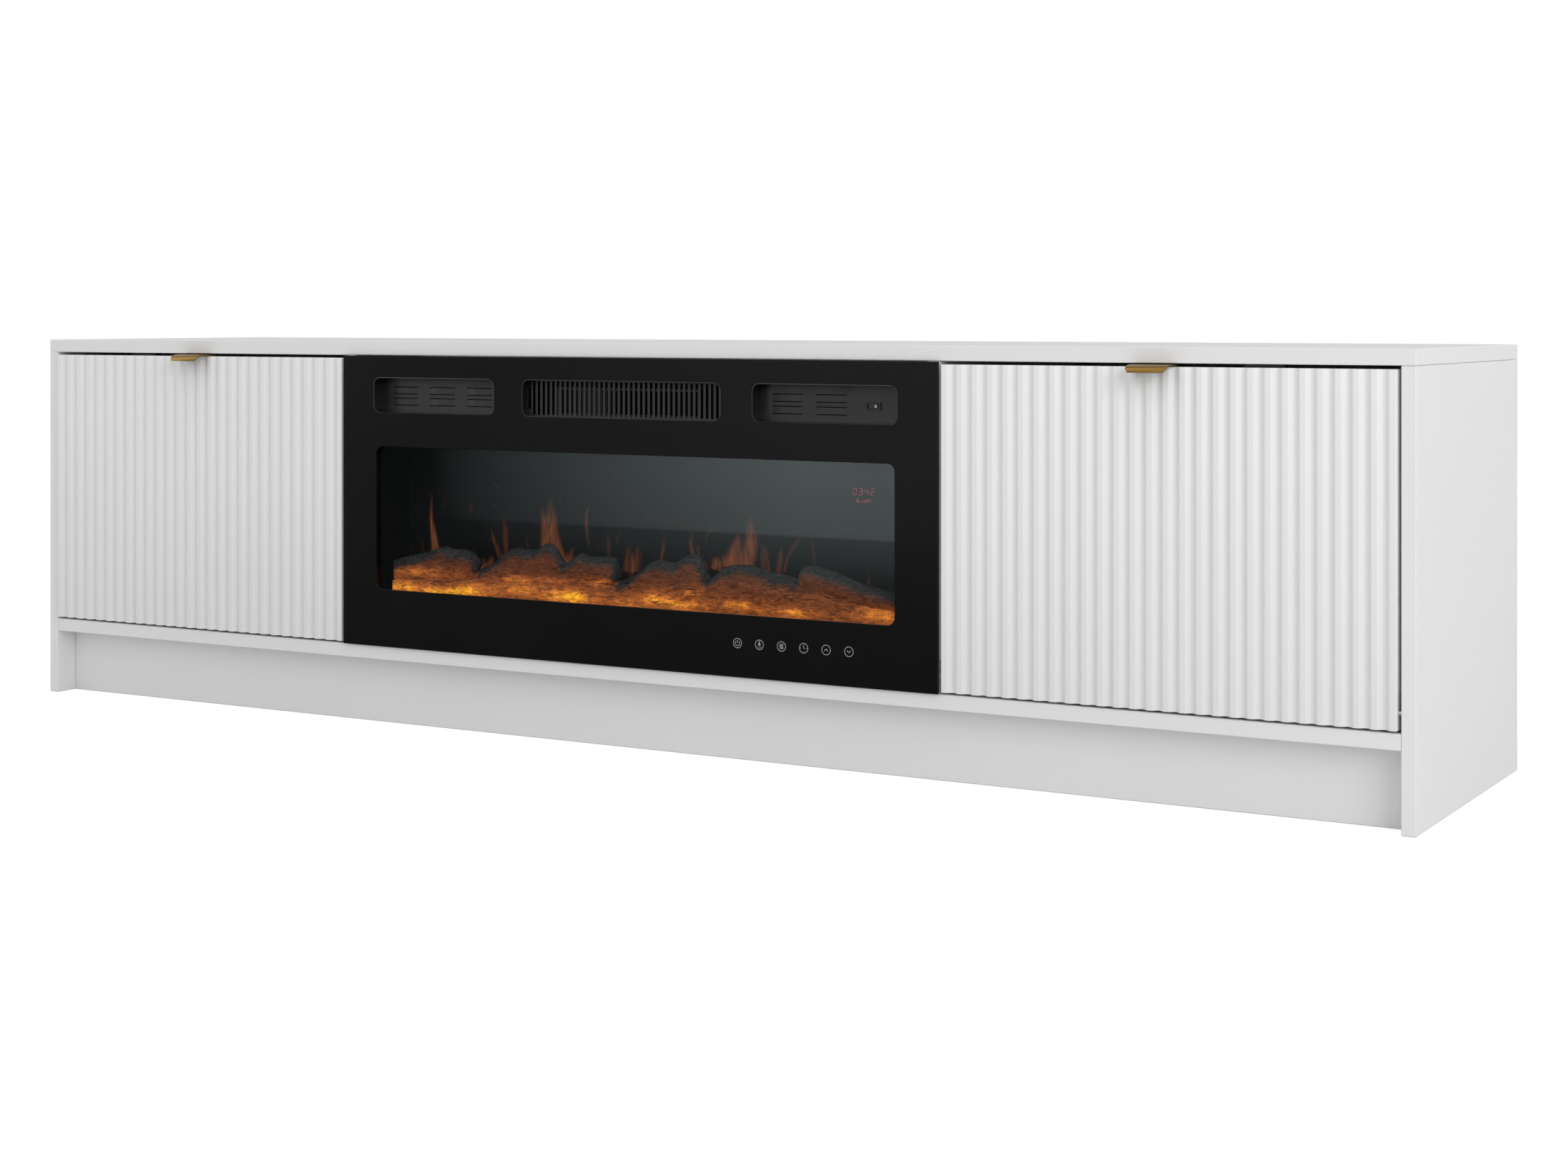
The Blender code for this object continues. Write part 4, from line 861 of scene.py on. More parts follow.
def glowing_log():
    """Moulded resin: charcoal along the crest, wrinkled bark below, a warm light in its foot. The
    same charcoal tone is painted shade along the crests of logs that lie under others.
    """
    paint = Paint("moulded_resin", (0.10, 0.05, 0.03), 0.7)
    across, _, up = paint.axes()
    coarse = paint.noise(1.0, 4, paint.stretch(65, 190, 230), 1.4)
    fine = paint.noise(1.0, 3, paint.stretch(330, 640, 760), 1.6)
    cracks = []
    for scale, width, least in (((110, 270, 330), 0.05, 0.0), ((330, 700, 820), 0.06, 0.5)):
        away = abs(paint.noise(1.0, 2, paint.stretch(*scale), 1.2) - 0.5)
        cracks.append(paint.remap(away, 0.0, width, least, 1.0, smooth=True))
    crack = cracks[0] * cracks[1]

    away = across - knot_place[0]
    tilted = up - knot_place[1] - away * knot_rise
    reach = paint.maths("SQRT", (away / knot_half[0]) ** 2.0 + (tilted / knot_half[1]) ** 2.0)
    reach += coarse * 0.6
    rings = paint.maths("SINE", reach * knot_rings) * paint.remap(reach, 1.7, 0.7, 0.0, 0.17)
    wrinkle = coarse + fine * 0.6 + rings
    shade = paint.remap(wrinkle, 0.56, 1.0) * paint.remap(crack, 0.0, 1.0, 0.35, 1.0)

    cloud = paint.noise(34, 3) - 0.5
    # The char attribute holds both the real charcoal on top and painted crease shade along the
    # lower logs' crests
    edge = paint.attribute("char_and_shade") + cloud * 0.9 - (shade - 0.5) * 0.3
    char_and_shade = paint.remap(edge, 0.16, 0.84, smooth=True)
    bark = paint.blend(shade, (0.016, 0.008, 0.006), (0.150, 0.070, 0.045))
    coal = paint.blend(shade, (0.030, 0.029, 0.029), (0.140, 0.138, 0.137))

    heat = paint.attribute("ember") * paint.remap(paint.noise(55, 3), 0.30, 0.66, 0.60, 1.15)
    warm = paint.blend(heat**2.0, (1.0, 0.235, 0.045), (1.0, 0.42, 0.020))
    power = paint.remap(heat**1.2, 0.0, 1.0, 0.085, 1.10)
    power *= paint.remap(shade, 0.0, 0.8, 0.22, 1.35)
    glaze = paint.remap(paint.noise(420), 0.58, 0.66) * char_and_shade
    paint.set(base=paint.blend(char_and_shade, bark, coal), gloss=0.45)
    paint.set(glow=warm, power=power * (1.0 - char_and_shade))
    paint.set(rough=paint.remap(glaze, 0.0, 1.0, 0.62, 0.14))
    paint.bump(wrinkle + crack * 0.35, 0.9, 0.0010)
    return paint


def ink(name, colour, light=0.0):
    """Printed or lit marks, with the slight unevenness of a screen print."""
    paint = Paint(name, colour, 0.5)
    speckle = paint.remap(paint.noise(2600, 1), *noise_span)
    tone = paint.blend(speckle, tuple(value * ink_dim for value in colour), colour)
    paint.set(base=tone)
    if light:
        paint.set(glow=tone, power=light)
    return paint


def studio_floor():
    """A pale floor that the camera sees as white where no shadow falls."""
    paint = Paint("studio_floor", 0.80, 0.9)
    tone = paint.blend(paint.noise(1.2), 0.795, 0.805)
    lift = paint.add("LightPath", "Is Camera Ray") * floor_lift
    paint.set(base=tone, glow=(1, 1, 1, 1), power=lift, gloss=0.0)
    return paint


# Pieces


def inset(outline, amount):
    """The outline moved inwards by the amount, point by point, for one drawn anticlockwise."""
    moved = []
    for index, point in enumerate(outline):
        before, after = Vector(outline[index - 1]), Vector(outline[(index + 1) % len(outline)])
        along = (after - before).normalized()
        moved.append((point[0] - along.y * amount, point[1] + along.x * amount))
    return moved


def loft(rings):
    """A closed skin through rings that have the same number of points, with flat ends."""
    shape = bmesh.new()
    rows = [[shape.verts.new(spot) for spot in ring] for ring in rings]
    join_rows(shape, rows)
    shape.faces.new(rows[0][::-1])
    shape.faces.new(rows[-1])
    return shape


def door_outline(width):
    """The flap in plan about its own middle, with the flutes' arrises rounded."""
    count = math.floor((width - 2 * flute_margin) / flute_pitch + flute_slack) + 1
    half = width / 2
    front = [(-half, 0)]
    for index in range(count):
        centre = (index - (count - 1) / 2) * flute_pitch
        near, far = flute_floor / 2, flute_floor / 2 + flute_slope
        front += [(centre - far, 0), (centre - near, flute_depth)]
        front += [(centre + near, flute_depth), (centre + far, 0)]
    front.append((half, 0))
    return fillet(front + [(half, door_thickness), (-half, door_thickness)], flute_arris)


def dress_door(hand, paint):
    low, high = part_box(hand + "_door")
    middle = (low.x + high.x) / 2
    outline = door_outline(high.x - low.x)
    turn = door_edge * door_edge_share
    eased = [(0, door_edge), (turn, turn), (door_edge, 0)]
    levels = [(low.z + rise, amount) for rise, amount in eased]
    levels += [(high.z - rise, amount) for rise, amount in eased[::-1]]
    rings = []
    for level, amount in levels:
        ring = inset(outline, amount) if amount else outline
        rings.append([(middle + across, low.y + back, level) for across, back in ring])
    door = piece(hand + "_fluted_flap", loft(rings), paint, hand + "_flap")
    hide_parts(hand + "_door")


def dress_pull(hand, paint):
    """The bent gold pull: a lip curving down in front, a plate over the edge and a rear flange."""
    low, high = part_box(hand + "_handle")
    top, front, rear = high.z, low.y, high.y
    nose = (front + pull_nose, top - pull_drop)
    outer = [(rear, low.z), (rear, top - pull_bend)]
    bend = (rear - pull_bend, top - pull_bend)
    outer += arc(bend, pull_bend, 0, QUARTER, pull_bend_steps)
    outer += arc(nose, (pull_nose, pull_drop), QUARTER, 2 * QUARTER, pull_nose_steps)
    inner_rear, inner_top = rear - pull_thickness, top - pull_thickness
    inner = [(inner_rear, low.z), (inner_rear, top - pull_bend)]
    inner += [(inner_rear, inner_top)] * (pull_bend_steps + 1)
    radii = (pull_nose - pull_thickness, pull_drop - pull_thickness)
    inner += arc(nose, radii, QUARTER, 2 * QUARTER, pull_nose_steps)
    middle, half = (low.x + high.x) / 2, (high.x - low.x) / 2
    rings = []
    for outside, inside in zip(outer, inner):
        away = outside[0] - front
        fall = max(0, pull_corner - away)
        corner = pull_corner - math.sqrt(max(0, pull_corner**2 - fall**2))
        section = rounded_box((corner - half, 0), (half - corner, pull_thickness), pull_edge, 3)
        ring = []
        for across, deep in section:
            share = deep / pull_thickness
            back = outside[0] + (inside[0] - outside[0]) * share
            up = outside[1] + (inside[1] - outside[1]) * share
            ring.append((middle + across, back, up))
        rings.append(ring)
    pull = piece(hand + "_gold_pull", loft(rings), paint, hand + "_flap")
    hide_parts(hand + "_handle")


def vent_outline(centre, width, grow=0):
    half = width / 2 + grow
    low, high = (centre - half, vent_low - grow), (centre + half, vent_high + grow)
    return rounded_box(low, high, vent_corner + grow)


def all_vents():
    return [
        vent_outline(-side_vent_centre, side_vent_width),
        vent_outline(0, grille_width),
        vent_outline(side_vent_centre, side_vent_width),
    ]


def dress_bezel(glass, clear):
    low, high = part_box("bezel")
    window = rounded_box((-window_half, window_low), (window_half, window_high), window_corner)
    outer = box_outline((low.x, low.z), (high.x, high.z))
    shape = ease(slab([outer, window, *all_vents()], "front", low.y, high.y), glass_edge, 3)
    bezel = piece("black_glass_bezel", shape, glass, "cabinet", weighted=True)
    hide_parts("bezel")
    low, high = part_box("window_pane")
    corner = window_corner + high.x - window_half
    outline = rounded_box((low.x, low.z), (high.x, high.z), corner)
    shape = ease(slab([outline], "front", low.y, high.y), pane_edge, 1)
    pane = piece("clear_pane", shape, clear, "cabinet", weighted=True)
    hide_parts("window_pane")


def pan(centre, width, floor_front, floor_back, rim, holes):
    """A tray behind a vent: a floor with holes, and a wall around it that meets the bezel."""
    shape = slab([vent_outline(centre, width, pan_wall), *holes], "front", floor_front, floor_back)
    outer, inner = vent_outline(centre, width, pan_wall), vent_outline(centre, width)
    wall = slab([outer, inner], "front", rim, floor_front)
    return merge(shape, wall)


def lip(centre, width, rim):
    """The moulded lip that laps over the glass around a vent, and the collar over the cut edge."""
    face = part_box("bezel")[0].y
    inner = vent_outline(centre, width, -lip_inset)
    collar = slab([vent_outline(centre, width), inner], "front", face, rim)
    shape = slab([vent_outline(centre, width, lip_cover), inner], "front", face - lip_proud, face)
    return merge(ease(shape, lip_edge, 2), collar)


def bridge(centre, middle, floor_front):
    """A louvre pressed forward out of the sheet, with its ends running down in a soft curve."""
    half, reach = louvre_length / 2, louvre_height / 2 - louvre_slit
    rings = []
    for step in range(louvre_steps + 1):
        across = centre - half + louvre_length * step / louvre_steps
        share = min(1, (half - abs(across - centre)) / louvre_ramp)
        front = floor_front - louvre_rise * share * share * (3 - 2 * share)
        back = front + louvre_thickness
        section = [(front + louvre_edge, -reach), (front, louvre_edge - reach)]
        section += [(front, reach - louvre_edge), (front + louvre_edge, reach)]
        section += [(back, reach), (back, -reach)]
        rings.append([(across, deep, middle + up) for deep, up in section])
    return loft(rings)


def dress_side_vent(hand, side, columns, paint):
    low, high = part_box(hand + "_vent_tray")
    centre = side * side_vent_centre
    floor_front, floor_back = high.y - pan_wall, high.y
    openings, bridges = [], []
    half, half_height = louvre_length / 2, louvre_height / 2
    for column in columns:
        across = centre + side * column * louvre_pitch
        for drop in louvre_drops:
            middle = vent_high - drop
            corners = (across - half, middle - half_height), (across + half, middle + half_height)
            openings.append(rounded_box(*corners, louvre_slit, 2))
            bridges.append(bridge(across, middle, floor_front))
    if side > 0:
        can_low, can_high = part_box("switch_housing")
        near = can_low.x + switch_rim, can_low.z + switch_rim / 2
        far = can_high.x - switch_rim, can_high.z - switch_rim / 2
        openings.append(box_outline(near, far))
    shape = merge(pan(centre, side_vent_width, floor_front, floor_back, low.y, openings), *bridges)
    merge(shape, lip(centre, side_vent_width, low.y))
    tray = piece(hand + "_louvred_tray", shape, paint, "cabinet")
    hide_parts(hand + "_vent_tray")


def dress_grille(paint):
    """The outlet: a row of tall slots between narrow rounded bars."""
    low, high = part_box("outlet_grille")
    floor_front = high.y - grille_thickness
    count = math.floor((grille_width - 2 * slot_margin - slot_width) / slot_pitch) + 1
    slots = []
    for index in range(count):
        middle = (index - (count - 1) / 2) * slot_pitch
        to_edge = grille_width / 2 - abs(middle) - slot_width / 2
        margin = slot_margin + slot_width / 2 + max(0, vent_corner - slot_margin - to_edge)
        foot, head = (middle, vent_low + margin), (middle, vent_high - margin)
        slots.append(stadium(foot, head, slot_width, 6))
    shape = pan(0, grille_width, floor_front, high.y, low.y, slots)
    shape = merge(ease(shape, slot_edge, 2), lip(0, grille_width, low.y))
    grille = piece("slotted_outlet", shape, paint, "cabinet", weighted=True)
    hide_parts("outlet_grille")


def mark(name, outline_sets, near, far, paint, body="cabinet"):
    """Thin printed marks: each set is an outline with its holes."""
    shape = bmesh.new()
    for outlines in outline_sets:
        merge(shape, slab(outlines, "front", near, far))
    return piece(name, shape, paint, body, smooth=False)


def stroke(path, width):
    """The outline of a line of a given width along a path."""
    sides = ([], [])
    for index, point in enumerate(path):
        before = Vector(path[max(index - 1, 0)])
        after = Vector(path[min(index + 1, len(path) - 1)])
        along = (after - before).normalized()
        normal = Vector((-along.y, along.x)) * width / 2
        sides[0].append(tuple(Vector(point) + normal))
        sides[1].append(tuple(Vector(point) - normal))
    return sides[0] + sides[1][::-1]


def icon_marks(kind, centre):
    """The strokes inside one touch symbol's ring, placed in shares of the ring's radius."""
    line = icon_line

    def at(x, z):
        return (centre[0] + x * icon_radius, centre[1] + z * icon_radius)

    def turned(angle, near, far):
        x, z = math.cos(math.radians(angle)), math.sin(math.radians(angle))
        return stroke([at(x * near, z * near), at(x * far, z * far)], line)

    if kind == "power":
        bow = arc(centre, icon_radius * 0.5, math.radians(125), math.radians(415), ring_steps)
        return [stroke(bow, line), stroke([at(0, 0.62), at(0, 0.02)], line)]
    if kind == "flame":
        flask = [at(0.13, 0.72), at(0.13, 0.42), at(0.30, 0.08), at(0.22, -0.22)]
        flask += [at(-0.22, -0.22), at(-0.30, 0.08), at(-0.13, 0.42), at(-0.13, 0.72)]
        return [fillet(flask[::-1], line), *(turned(way, 0.50, 0.74) for way in (-50, -90, -130))]
    if kind == "heat":
        waves = []
        for x in (-0.30, 0, 0.30):
            wave = [(x + 0.09 * math.sin(step * 0.8), -0.52 + step * 0.104) for step in range(11)]
            waves.append(stroke([at(*spot) for spot in wave], line * 1.25))
        return waves
    if kind == "clock":
        hands = [at(0, 0.62), at(0, -0.06)], [at(0, 0), at(0.34, 0)]
        ticks = [turned(way, 0.58, 0.74) for way in (0, 180, 270)]
        return [stroke(hand, line) for hand in hands] + ticks
    rise = 0.18 if kind == "up" else -0.18
    legs = [at(-0.40, -rise), at(0, rise), at(0.40, -rise)]
    return [stroke(legs, line * 1.3)]


def add_icons(paint):
    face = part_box("bezel")[0].y
    outlines = []
    for index, kind in enumerate(("power", "flame", "heat", "clock", "up", "down")):
        centre = (icon_first + index * icon_step, icon_z)
        ring = [circle(centre, icon_radius), circle(centre, icon_radius - icon_line)]
        outlines.append(ring)
        outlines += [[marks] for marks in icon_marks(kind, centre)]
    mark("touch_symbols", outlines, face - ink_proud, face, paint)


# The strokes of a figure in shares of its width and height, clockwise from the top, then the
# middle one
SEGMENTS = {
    "a": ((0, 1), (1, 1)),
    "b": ((1, 1), (1, 0.5)),
    "c": ((1, 0.5), (1, 0)),
    "d": ((0, 0), (1, 0)),
    "e": ((0, 0), (0, 0.5)),
    "f": ((0, 0.5), (0, 1)),
    "g": ((0, 0.5), (1, 0.5)),
}
DIGITS = {"0": "abcdef", "2": "abged", "3": "abgcd", "4": "fgbc"}


def add_display(paint):
    """The faint red figures on the display board, with a row of level bars under them."""
    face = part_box("display_board")[0].y
    outlines = []
    width, height = digit_pitch * digit_width_share, digit_height
    for index, digit in enumerate("0342"):
        left = digit_left + index * digit_pitch
        for segment in DIGITS[digit]:
            ends = []
            for x, z in SEGMENTS[segment]:
                up = z * height
                ends.append(Vector((left + x * width + up * digit_slant, digit_foot + up)))
            trim = (ends[1] - ends[0]) * digit_trim
            outlines.append([stroke([ends[0] + trim, ends[1] - trim], digit_line)])
    left = digit_left + digit_pitch * bar_indent
    tip = (left + bar_pitch, bar_foot + bar_height)
    outlines.append([[(left, bar_foot), (left + 2 * bar_pitch, bar_foot), tip]])
    for index, share in enumerate(bar_shares):
        near = left + (index + bar_start) * bar_pitch
        corner = near + bar_pitch / 2, bar_foot + bar_height * share
        outlines.append([box_outline((near, bar_foot), corner)])
    mark("display_figures", outlines, face - ink_proud, face, paint)


def add_rocker_marks(paint):
    """The line and the ring on the rocker's two halves."""
    low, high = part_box("switch_rocker")
    centre = Vector(((low.x + high.x) / 2, 0, (low.z + high.z) / 2))
    for name, share, turn in (("on", -1, rocker_left_turn), ("off", 1, rocker_right_turn)):
        if share < 0:
            ends = (-rocker_mark_reach, 0), (rocker_mark_reach, 0)
            outlines = [stroke(ends, rocker_mark_line)]
        else:
            inner = rocker_mark_reach - rocker_mark_line
            radii = rocker_mark_reach, inner
            outlines = [circle((0, 0), radius, ring_steps) for radius in radii]
        place = centre + Vector((share * rocker_mark_out, rocker_face[name], 0))
        shape = slab(outlines, "front", -ink_proud, 0)
        move(shape, Matrix.Rotation(turn, 3, "Z"), place)
        piece(f"rocker_{name}_mark", shape, paint, "rocker", smooth=False)


def screw_shape(place, facing, radius):
    """A countersunk screw head with a cross recess, facing along an axis."""
    arm, thin = radius * cross_arm, radius * cross_thin
    cross = [(-thin, -arm), (thin, -arm), (thin, -thin), (arm, -thin), (arm, thin), (thin, thin)]
    cross += [(-x, -y) for x, y in cross]
    head = circle((0, 0), radius, screw_steps)
    shape = slab([head, cross], "plan", screw_sink, screw_proud)
    merge(shape, slab([head], "plan", screw_sink - screw_proud, screw_sink))
    turn = Vector(facing).to_track_quat("Z", "Y").to_matrix()
    return move(shape, turn, place)


def add_screws(name, places, facing, radius, body, paint):
    shape = bmesh.new()
    for place in places:
        merge(shape, screw_shape(Vector(place), facing, radius))
    piece(name, shape, paint, body, smooth=False)


def end_places(box, facing, along, inset):
    """Two places on the face of a box that looks one way, near the face's ends along an axis."""
    low, high = box
    place = (low + high) / 2
    for axis, way in enumerate(facing):
        if way:
            place[axis] = (high if way > 0 else low)[axis]
    pair = place.copy(), place.copy()
    pair[0][along], pair[1][along] = low[along] + inset, high[along] - inset
    return pair


def add_fixings(zinc, black, cover):
    """Screw heads on the fittings, the backs and the casing, and caps on the boards' cam locks."""
    for hand, side in SIDES:
        for part, way in (("outer", -side), ("inner", side)):
            facing = (way, 0, 0)
            places = end_places(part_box(f"{hand}_{part}_pivot_plate"), facing, 2, plate_inset)
            name = f"{hand}_{part}_plate_screws"
            add_screws(name, places, facing, plate_screw, "cabinet", zinc)
        facing = (-side, 0, 0)
        places = end_places(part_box(hand + "_stay_brake"), facing, 2, brake_inset)
        add_screws(hand + "_brake_screws", places, facing, stay_screw, "cabinet", zinc)
        low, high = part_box(hand + "_stay_bracket")
        across = (high.x if side > 0 else low.x) - side * bracket_screw_in
        middle = (low.z + high.z) / 2
        places = [
            (across, low.y + bracket_foot, middle + shift)
            for shift in (-bracket_screw_out, bracket_screw_out)
        ]
        flap, rear = hand + "_flap", (0, 1, 0)
        add_screws(hand + "_bracket_screws", places, rear, stay_screw, flap, zinc)
        places = end_places(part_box(hand + "_catch"), (0, 0, -1), 0, catch_inset)
        for place in places:
            place.y = catch_screw_back
        add_screws(hand + "_catch_screws", places, (0, 0, -1), catch_screw, "cabinet", zinc)
        places = end_places(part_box(hand + "_strike"), rear, 0, strike_inset)
        add_screws(hand + "_strike_screws", places, rear, strike_screw, flap, zinc)
        low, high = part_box(hand + "_back_panel")
        inner, outer = (low.x, high.x) if side > 0 else (high.x, low.x)
        places = [
            (inner + side * back_inner, high.y, back_first + back_pitch * step)
            for step in range(back_rows)
        ]
        for share in back_shares:
            across = inner + (outer - inner) * share
            places += [(across, high.y, low.z + back_foot), (across, high.y, high.z - back_head)]
        add_screws(hand + "_back_screws", places, rear, rear_screw, "cabinet", zinc)
    low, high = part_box("casing")
    places = []
    for step in range(casing_gaps + 1):
        across = low.x + casing_side + (high.x - low.x - 2 * casing_side) * step / casing_gaps
        places += [(across, high.y, low.z + back_foot), (across, high.y, high.z - back_foot)]
    add_screws("casing_screws", places, (0, 1, 0), rear_screw, "cabinet", black)
    caps = bmesh.new()
    for level, way in ((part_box("bottom_panel")[1].z, 1), (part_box("top_panel")[0].z, -1)):
        for across in cap_across:
            for back in cap_back:
                ring = circle((0, 0), cap_radius, ring_steps)
                outline = [(across + x, back + y) for x, y in ring]
                near, far = sorted((level, level + way * cap_proud))
                merge(caps, ease(slab([outline], "plan", near, far), cap_proud / 3, 2))
    piece("cover_caps", caps, cover, "cabinet")


def add_intake_shade_slats(paint):
    """Fine dark upright slats in the casing's rear intake slots: painted shade that keeps the lit
    boards behind the casing from showing through the grille.
    """
    low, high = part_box("casing")
    level = high.z - intake_drop
    outlines = []
    for slot in intake_slots:
        for slat in slats:
            across = slot * intake_pitch + slat * slat_pitch
            near = across - slat_half, level - slat_high
            far = across + slat_half, level + slat_high
            outlines.append(box_outline(near, far))
    shape = slab(outlines, "front", high.y - slat_deep, high.y - slat_sink)
    piece("intake_shade_slats", shape, paint, "cabinet", smooth=False)


# Log set


def metres(numbers):
    return [number / unit for number in numbers]


def pairs(numbers):
    """Numbers in tenths of a millimetre as places in metres, two by two."""
    values = metres(numbers)
    return list(zip(values[::2], values[1::2]))


log_forms = [(pairs(crest), pairs(foot), *metres(rest)) for crest, foot, rest in log_table]


def follow(points, across):
    """A smooth curve through points along X."""
    last = len(points) - 1
    index = 0
    while index < last - 1 and across > points[index + 1][0]:
        index += 1
    (start, low), (end, high) = points[index], points[index + 1]
    share = min(max((across - start) / (end - start), 0), 1)
    slopes = []
    for at in (index, index + 1):
        before, after = points[max(at - 1, 0)], points[min(at + 1, last)]
        slopes.append((after[1] - before[1]) / (after[0] - before[0]) * (end - start))
    square, cube = share**2, share**3
    from_start = (2 * cube - 3 * square + 1) * low + (cube - 2 * square + share) * slopes[0]
    return from_start + (3 * square - 2 * cube) * high + (cube - square) * slopes[1]


def bark_relief(spot, seed):
    """How far the bark stands out at a spot: soft lumps with shallow ridges along them."""
    shift = Vector((0, 0, seed * bark_shift))
    lumps = noise.noise(spot * Vector(bark_lump_scale) + shift)
    ridges = 1 - abs(noise.noise(spot * Vector(bark_ridge_scale) + shift))
    return bark_lump * lumps + bark_ridge * (ridges - bark_ridge_middle)


def end_taper(to_end, reach):
    """The share of a log's full size near an end, round or cut flat."""
    if not reach:
        return 1 if to_end > 0 else cut_share
    share = min(1, to_end / reach)
    return math.sqrt(max(least_taper, share * (2 - share)))


def log_shape(crest, foot, middle, depth, ends, seed, marks):
    """One piece of driftwood, whose rings are round in front and slope down at the rear."""
    start, end = crest[0][0], crest[-1][0]
    count = max(log_steps_least, round((end - start) / log_step))
    rings = []
    for index in range(count + 1):
        across = start + (end - start) * index / count
        taper = end_taper(across - start, ends[0]) * end_taper(end - across, ends[1])
        high, low = follow(crest, across), follow(foot, across)
        centre, half = (high + low) / 2, (high - low) / 2
        ring = []
        for step in range(log_round):
            angle = 4 * QUARTER * step / log_round
            out = Vector((0, math.cos(angle), math.sin(angle)))
            reach = depth
            if out.y > 0:
                out /= out.y + abs(out.z)
                reach = log_rear
            back, up = out.y * reach * taper, out.z * half * taper
            spot = Vector((across, middle + back, centre + up))
            spot += out * bark_relief(spot, seed) * taper
            if not ends[0]:
                slant = cut_slant * max(0, 1 - (across - start) / cut_run)
                spot.x -= slant * (spot.y - middle + depth)
            ring.append(spot)
            marks.append((high - spot.z, end - across, seed))
        rings.append(ring)
    return loft(rings)


def ember(across, up):
    """How warm a place on the logs glows."""
    level = ember_floor * min(max((ember_high - up) / (ember_high - ember_low), 0), 1)
    for middle, height, wide, tall, power in ember_spots:
        away = ((across - middle) / wide) ** 2 + ((up - height) / tall) ** 2
        level += power * math.exp(-away)
    return min(level, 1)


def skyline(across):
    """The highest crest over a place along X."""
    crests = [crest for crest, *_ in log_forms if crest[0][0] <= across <= crest[-1][0]]
    return max((follow(crest, across) for crest in crests), default=0)


def set_values(item, name, values):
    item.data.attributes.new(name, "FLOAT", "POINT").data.foreach_set("value", values)


def dress_logs(paint):
    low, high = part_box("log_set")
    shape = bmesh.new()
    marks = []
    for seed, (crest, foot, front, depth, *ends) in enumerate(log_forms):
        middle = low.y + front + depth
        merge(shape, log_shape(crest, foot, middle, depth, ends, seed, marks))
    for vertex in shape.verts:
        vertex.co.x = min(max(vertex.co.x, low.x + log_gap), high.x - log_gap)
        vertex.co.y = min(max(vertex.co.y, low.y), high.y)
        vertex.co.z = max(vertex.co.z, low.z)
    logs = piece("glowing_log_set", shape, paint, "cabinet")
    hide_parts("log_set")
    spots = [vertex.co for vertex in logs.data.vertices]
    embers, char_and_shade = [], []
    for spot, (below, to_end, seed) in zip(spots, marks):
        crust = (char_depth - skyline(spot.x) + spot.z) / char_fade
        # Painted shade along each log's own crest, where the log above lies over it
        seam = crease_shade * (crease_shade_depth - below) / crease_shade_depth
        stub = end_char_start - to_end / end_char if seed in charred_ends else 0
        char_and_shade.append(min(max(crust, seam, stub, 0), 1))
        embers.append(ember(spot.x, spot.z) * dim_logs.get(seed, 1))
    set_values(logs, "ember", embers)
    set_values(logs, "char_and_shade", char_and_shade)


def add_flames(paint):
    """Thin ribbons just in front of the screen, each along a flame from its tip to its foot."""
    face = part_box("flame_screen")[0].y - flame_lift
    shape = bmesh.new()
    fire = []
    for layer, (power, *numbers) in enumerate(flame_paths):
        values = metres(numbers)
        halves = [half * flame_spread for half in values[2::3]]
        traces = [list(enumerate(part)) for part in (values[::3], values[1::3], halves)]
        count = flame_steps * (len(halves) - 1)
        places = [index / flame_steps for index in range(count + 1)]
        spots = [[follow(trace, place) for trace in traces] for place in places]
        rows = []
        for index, (across, up, half) in enumerate(spots):
            before, after = spots[max(index - 1, 0)], spots[min(index + 1, count)]
            along = Vector((after[0] - before[0], after[1] - before[1])).normalized()
            down = index / count
            fade = min(1, flame_tip_fade * down) * (1 - flame_foot_fade * down)
            row = []
            for offset in flame_offsets:
                side = along * half * offset
                spot = across - side.y, face - layer * flame_layer, up + side.x
                row.append(shape.verts.new(spot))
                fire.append(power / percent * fade * (1 - offset**2) ** 2)
            rows.append(row)
        join_rows(shape, rows, closed=False)
    flames = piece("flames_on_the_screen", shape, paint, "cabinet")
    set_values(flames, "fire", fire)


# Stage


def add_camera():
    data = bpy.data.cameras.new("camera")
    data.lens = camera_lens
    data.sensor_width = camera_sensor
    data.shift_y = camera_shift_up
    camera = add_object("camera", data)
    camera.location = camera_place
    camera.rotation_euler = (QUARTER, 0, camera_turn)
    bpy.context.scene.camera = camera


def add_key():
    data = bpy.data.lights.new("key", "AREA")
    data.size = key_size
    data.energy = key_power
    key = add_object("key", data)
    key.location = key_place
    aim = Vector(key_aim) - Vector(key_place)
    key.rotation_euler = aim.to_track_quat("-Z", "Y").to_euler()


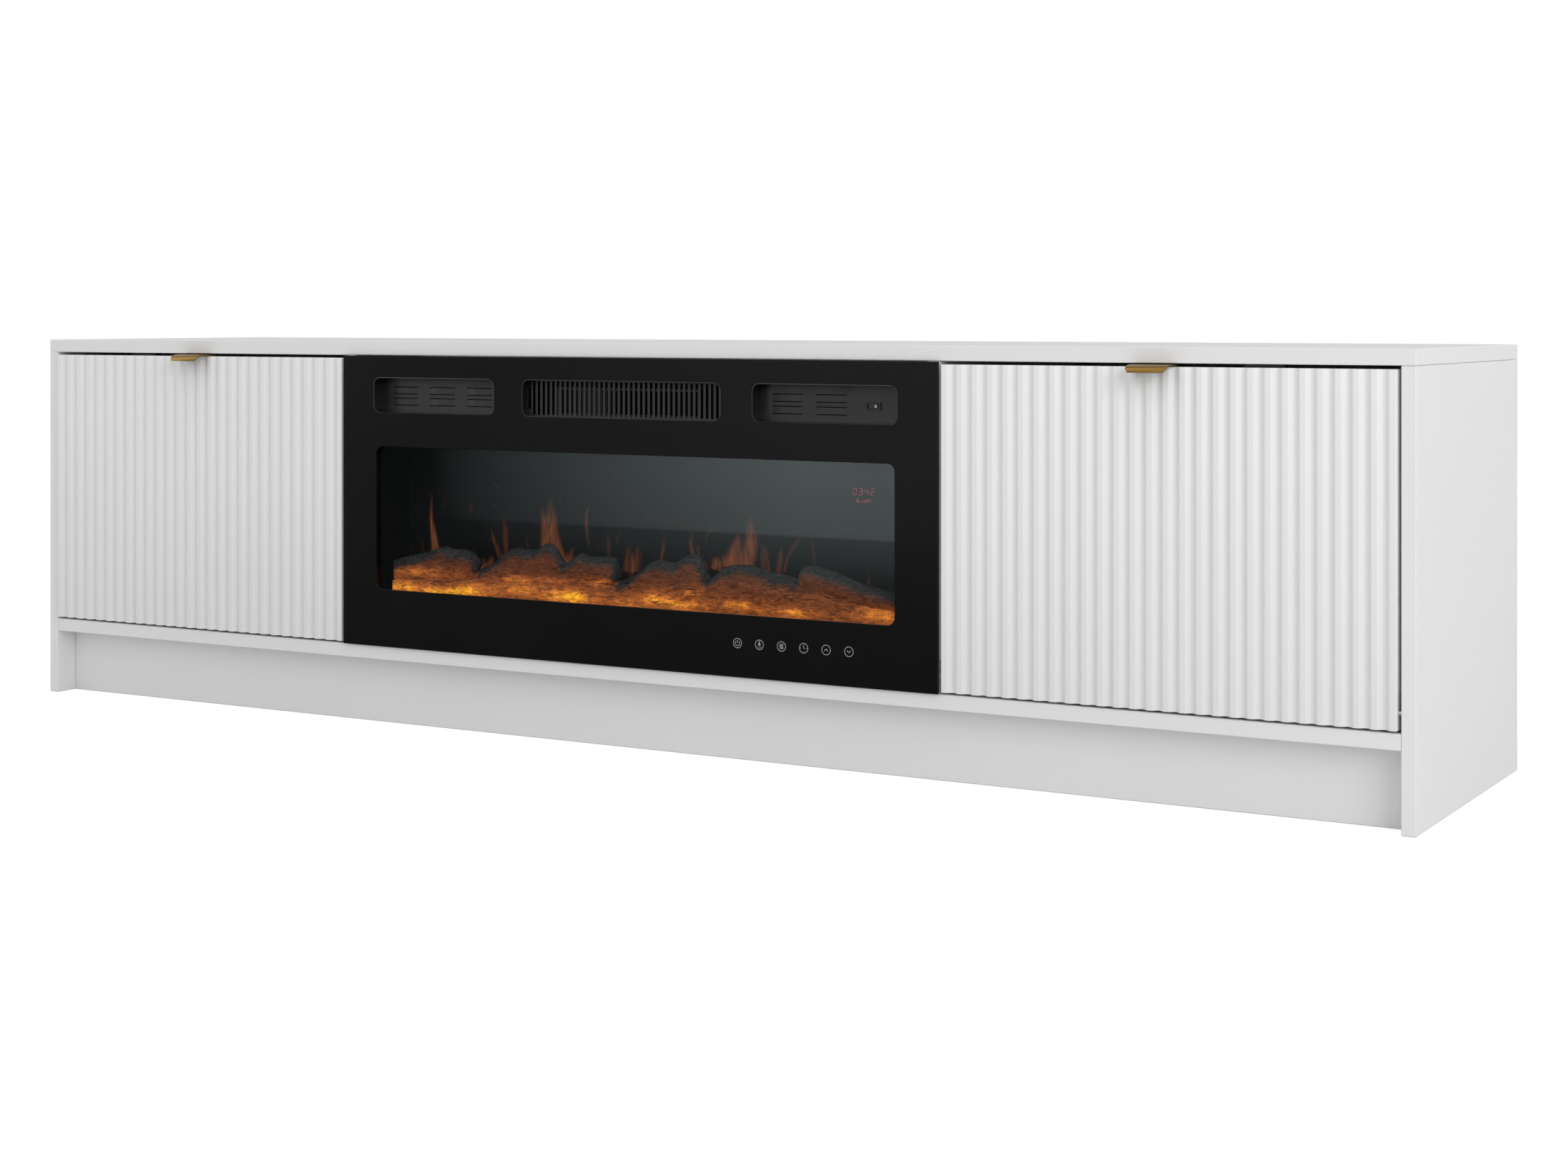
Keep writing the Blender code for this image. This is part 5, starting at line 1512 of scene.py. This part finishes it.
def add_sky():
    """Even soft light, white to the camera. Mirrors see a soft box, a dark gap and a pale room."""
    world = bpy.data.worlds.new("studio")
    bpy.context.scene.world = world
    world.use_nodes = True
    sky = Graph(world.node_tree, "Generated")
    kinds = "Is Camera Ray", "Is Glossy Ray", "Is Transmission Ray"
    seen, mirrored, through = (sky.add("LightPath", kind) for kind in kinds)
    across, back, up = sky.axes()
    front = sky.maths("MINIMUM", back, forward_least)
    side_share, rise_share = across / front, up / (front * -1.0)

    level = sky.remap(rise_share, box_fade_low, box_edge_low, 0.0, box_spill)
    level += sky.remap(rise_share, box_edge_low, box_edge_high, 0.0, box_step)
    rest = 1.0 - box_spill - box_step
    level += sky.remap(rise_share, box_edge_high, box_fade_high, 0.0, rest)
    soft_box = sky.remap(side_share, box_start, box_full) * level

    behind = sky.remap(back, *behind_span)
    above = sky.remap(rise_share, room_above_start, room_above_full)
    beside = sky.remap(side_share, room_side_start, room_side_full) * (1.0 - behind)
    beside *= sky.remap(rise_share, room_foot, room_head)
    beside *= 1.0 - through
    room = sky.most(sky.most(above, behind) * mirror_room, beside * mirror_side)
    glossy = sky.most(sky.most(soft_box, room), mirror_dark)

    plain = sky.most(mirrored, through) * (glossy - sky_strength) + sky_strength
    background = sky.tree.nodes["Background"]
    sky.feed(background.inputs["Strength"], plain + seen * (1.0 - plain))
    background.inputs["Color"].default_value = (1, 1, 1, 1)


def add_floor(paint):
    shape = bmesh.new()
    cells = {"x_segments": floor_cells, "y_segments": floor_cells}
    bmesh.ops.create_grid(shape, **cells, size=floor_size / 2)
    mesh = bpy.data.meshes.new("floor")
    shape.to_mesh(mesh)
    shape.free()
    mesh.materials.append(paint.material)
    floor = add_object("floor", mesh)
    floor.location.z = -floor_drop
    floor.visible_glossy = False
    floor.visible_transmission = False


def finish_nodes(paints):
    """Gives every CAD node that still shows its finish."""
    for finish, names in node_finishes.items():
        both = [name.replace("*", hand) for name in names.split() for hand, _ in SIDES]
        for name in dict.fromkeys(both):
            node = cad[name]
            node.data.materials.clear()
            node.data.materials.append(paints[finish].material)
            node.data.shade_smooth()
            node.data.set_sharp_from_angle(angle=crease_angle)


def main():
    add_camera()
    add_key()
    add_sky()
    add_floor(studio_floor())
    paints = {
        "board": white_board(),
        "hdf": thin_board(),
        "zinc": zinc_steel(),
        "powder": grained("black_steel"),
        "firebox": grained("firebox_black"),
        "display": grained("display_black"),
        "plastic": grained("black_plastic"),
        "circuit": circuit_board(),
        "aluminium": bare_aluminium(),
        "smoked": smoked_acrylic(),
    }
    fluted, gold, vents = fluted_white(), satin_gold(), grained("vent_black")
    finish_nodes(paints)
    for hand, side in SIDES:
        dress_door(hand, fluted)
        dress_pull(hand, gold)
    dress_bezel(black_glass(), clear_glass())
    dress_side_vent("left", -1, (-1, 0, 1), vents)
    dress_side_vent("right", 1, (-1, 0), vents)
    dress_grille(vents)
    dress_logs(glowing_log())
    add_flames(flame_light())
    add_icons(ink("pale_ink", (0.31, 0.31, 0.315), 0.10))
    add_display(ink("red_figures", (0.16, 0.016, 0.018), 0.85))
    add_rocker_marks(ink("rocker_ink", (0.70, 0.70, 0.70)))
    add_fixings(paints["zinc"], paints["powder"], grained("white_plastic"))
    add_intake_shade_slats(paints["powder"])


main()
bpy.context.scene.view_settings.view_transform = "Standard"
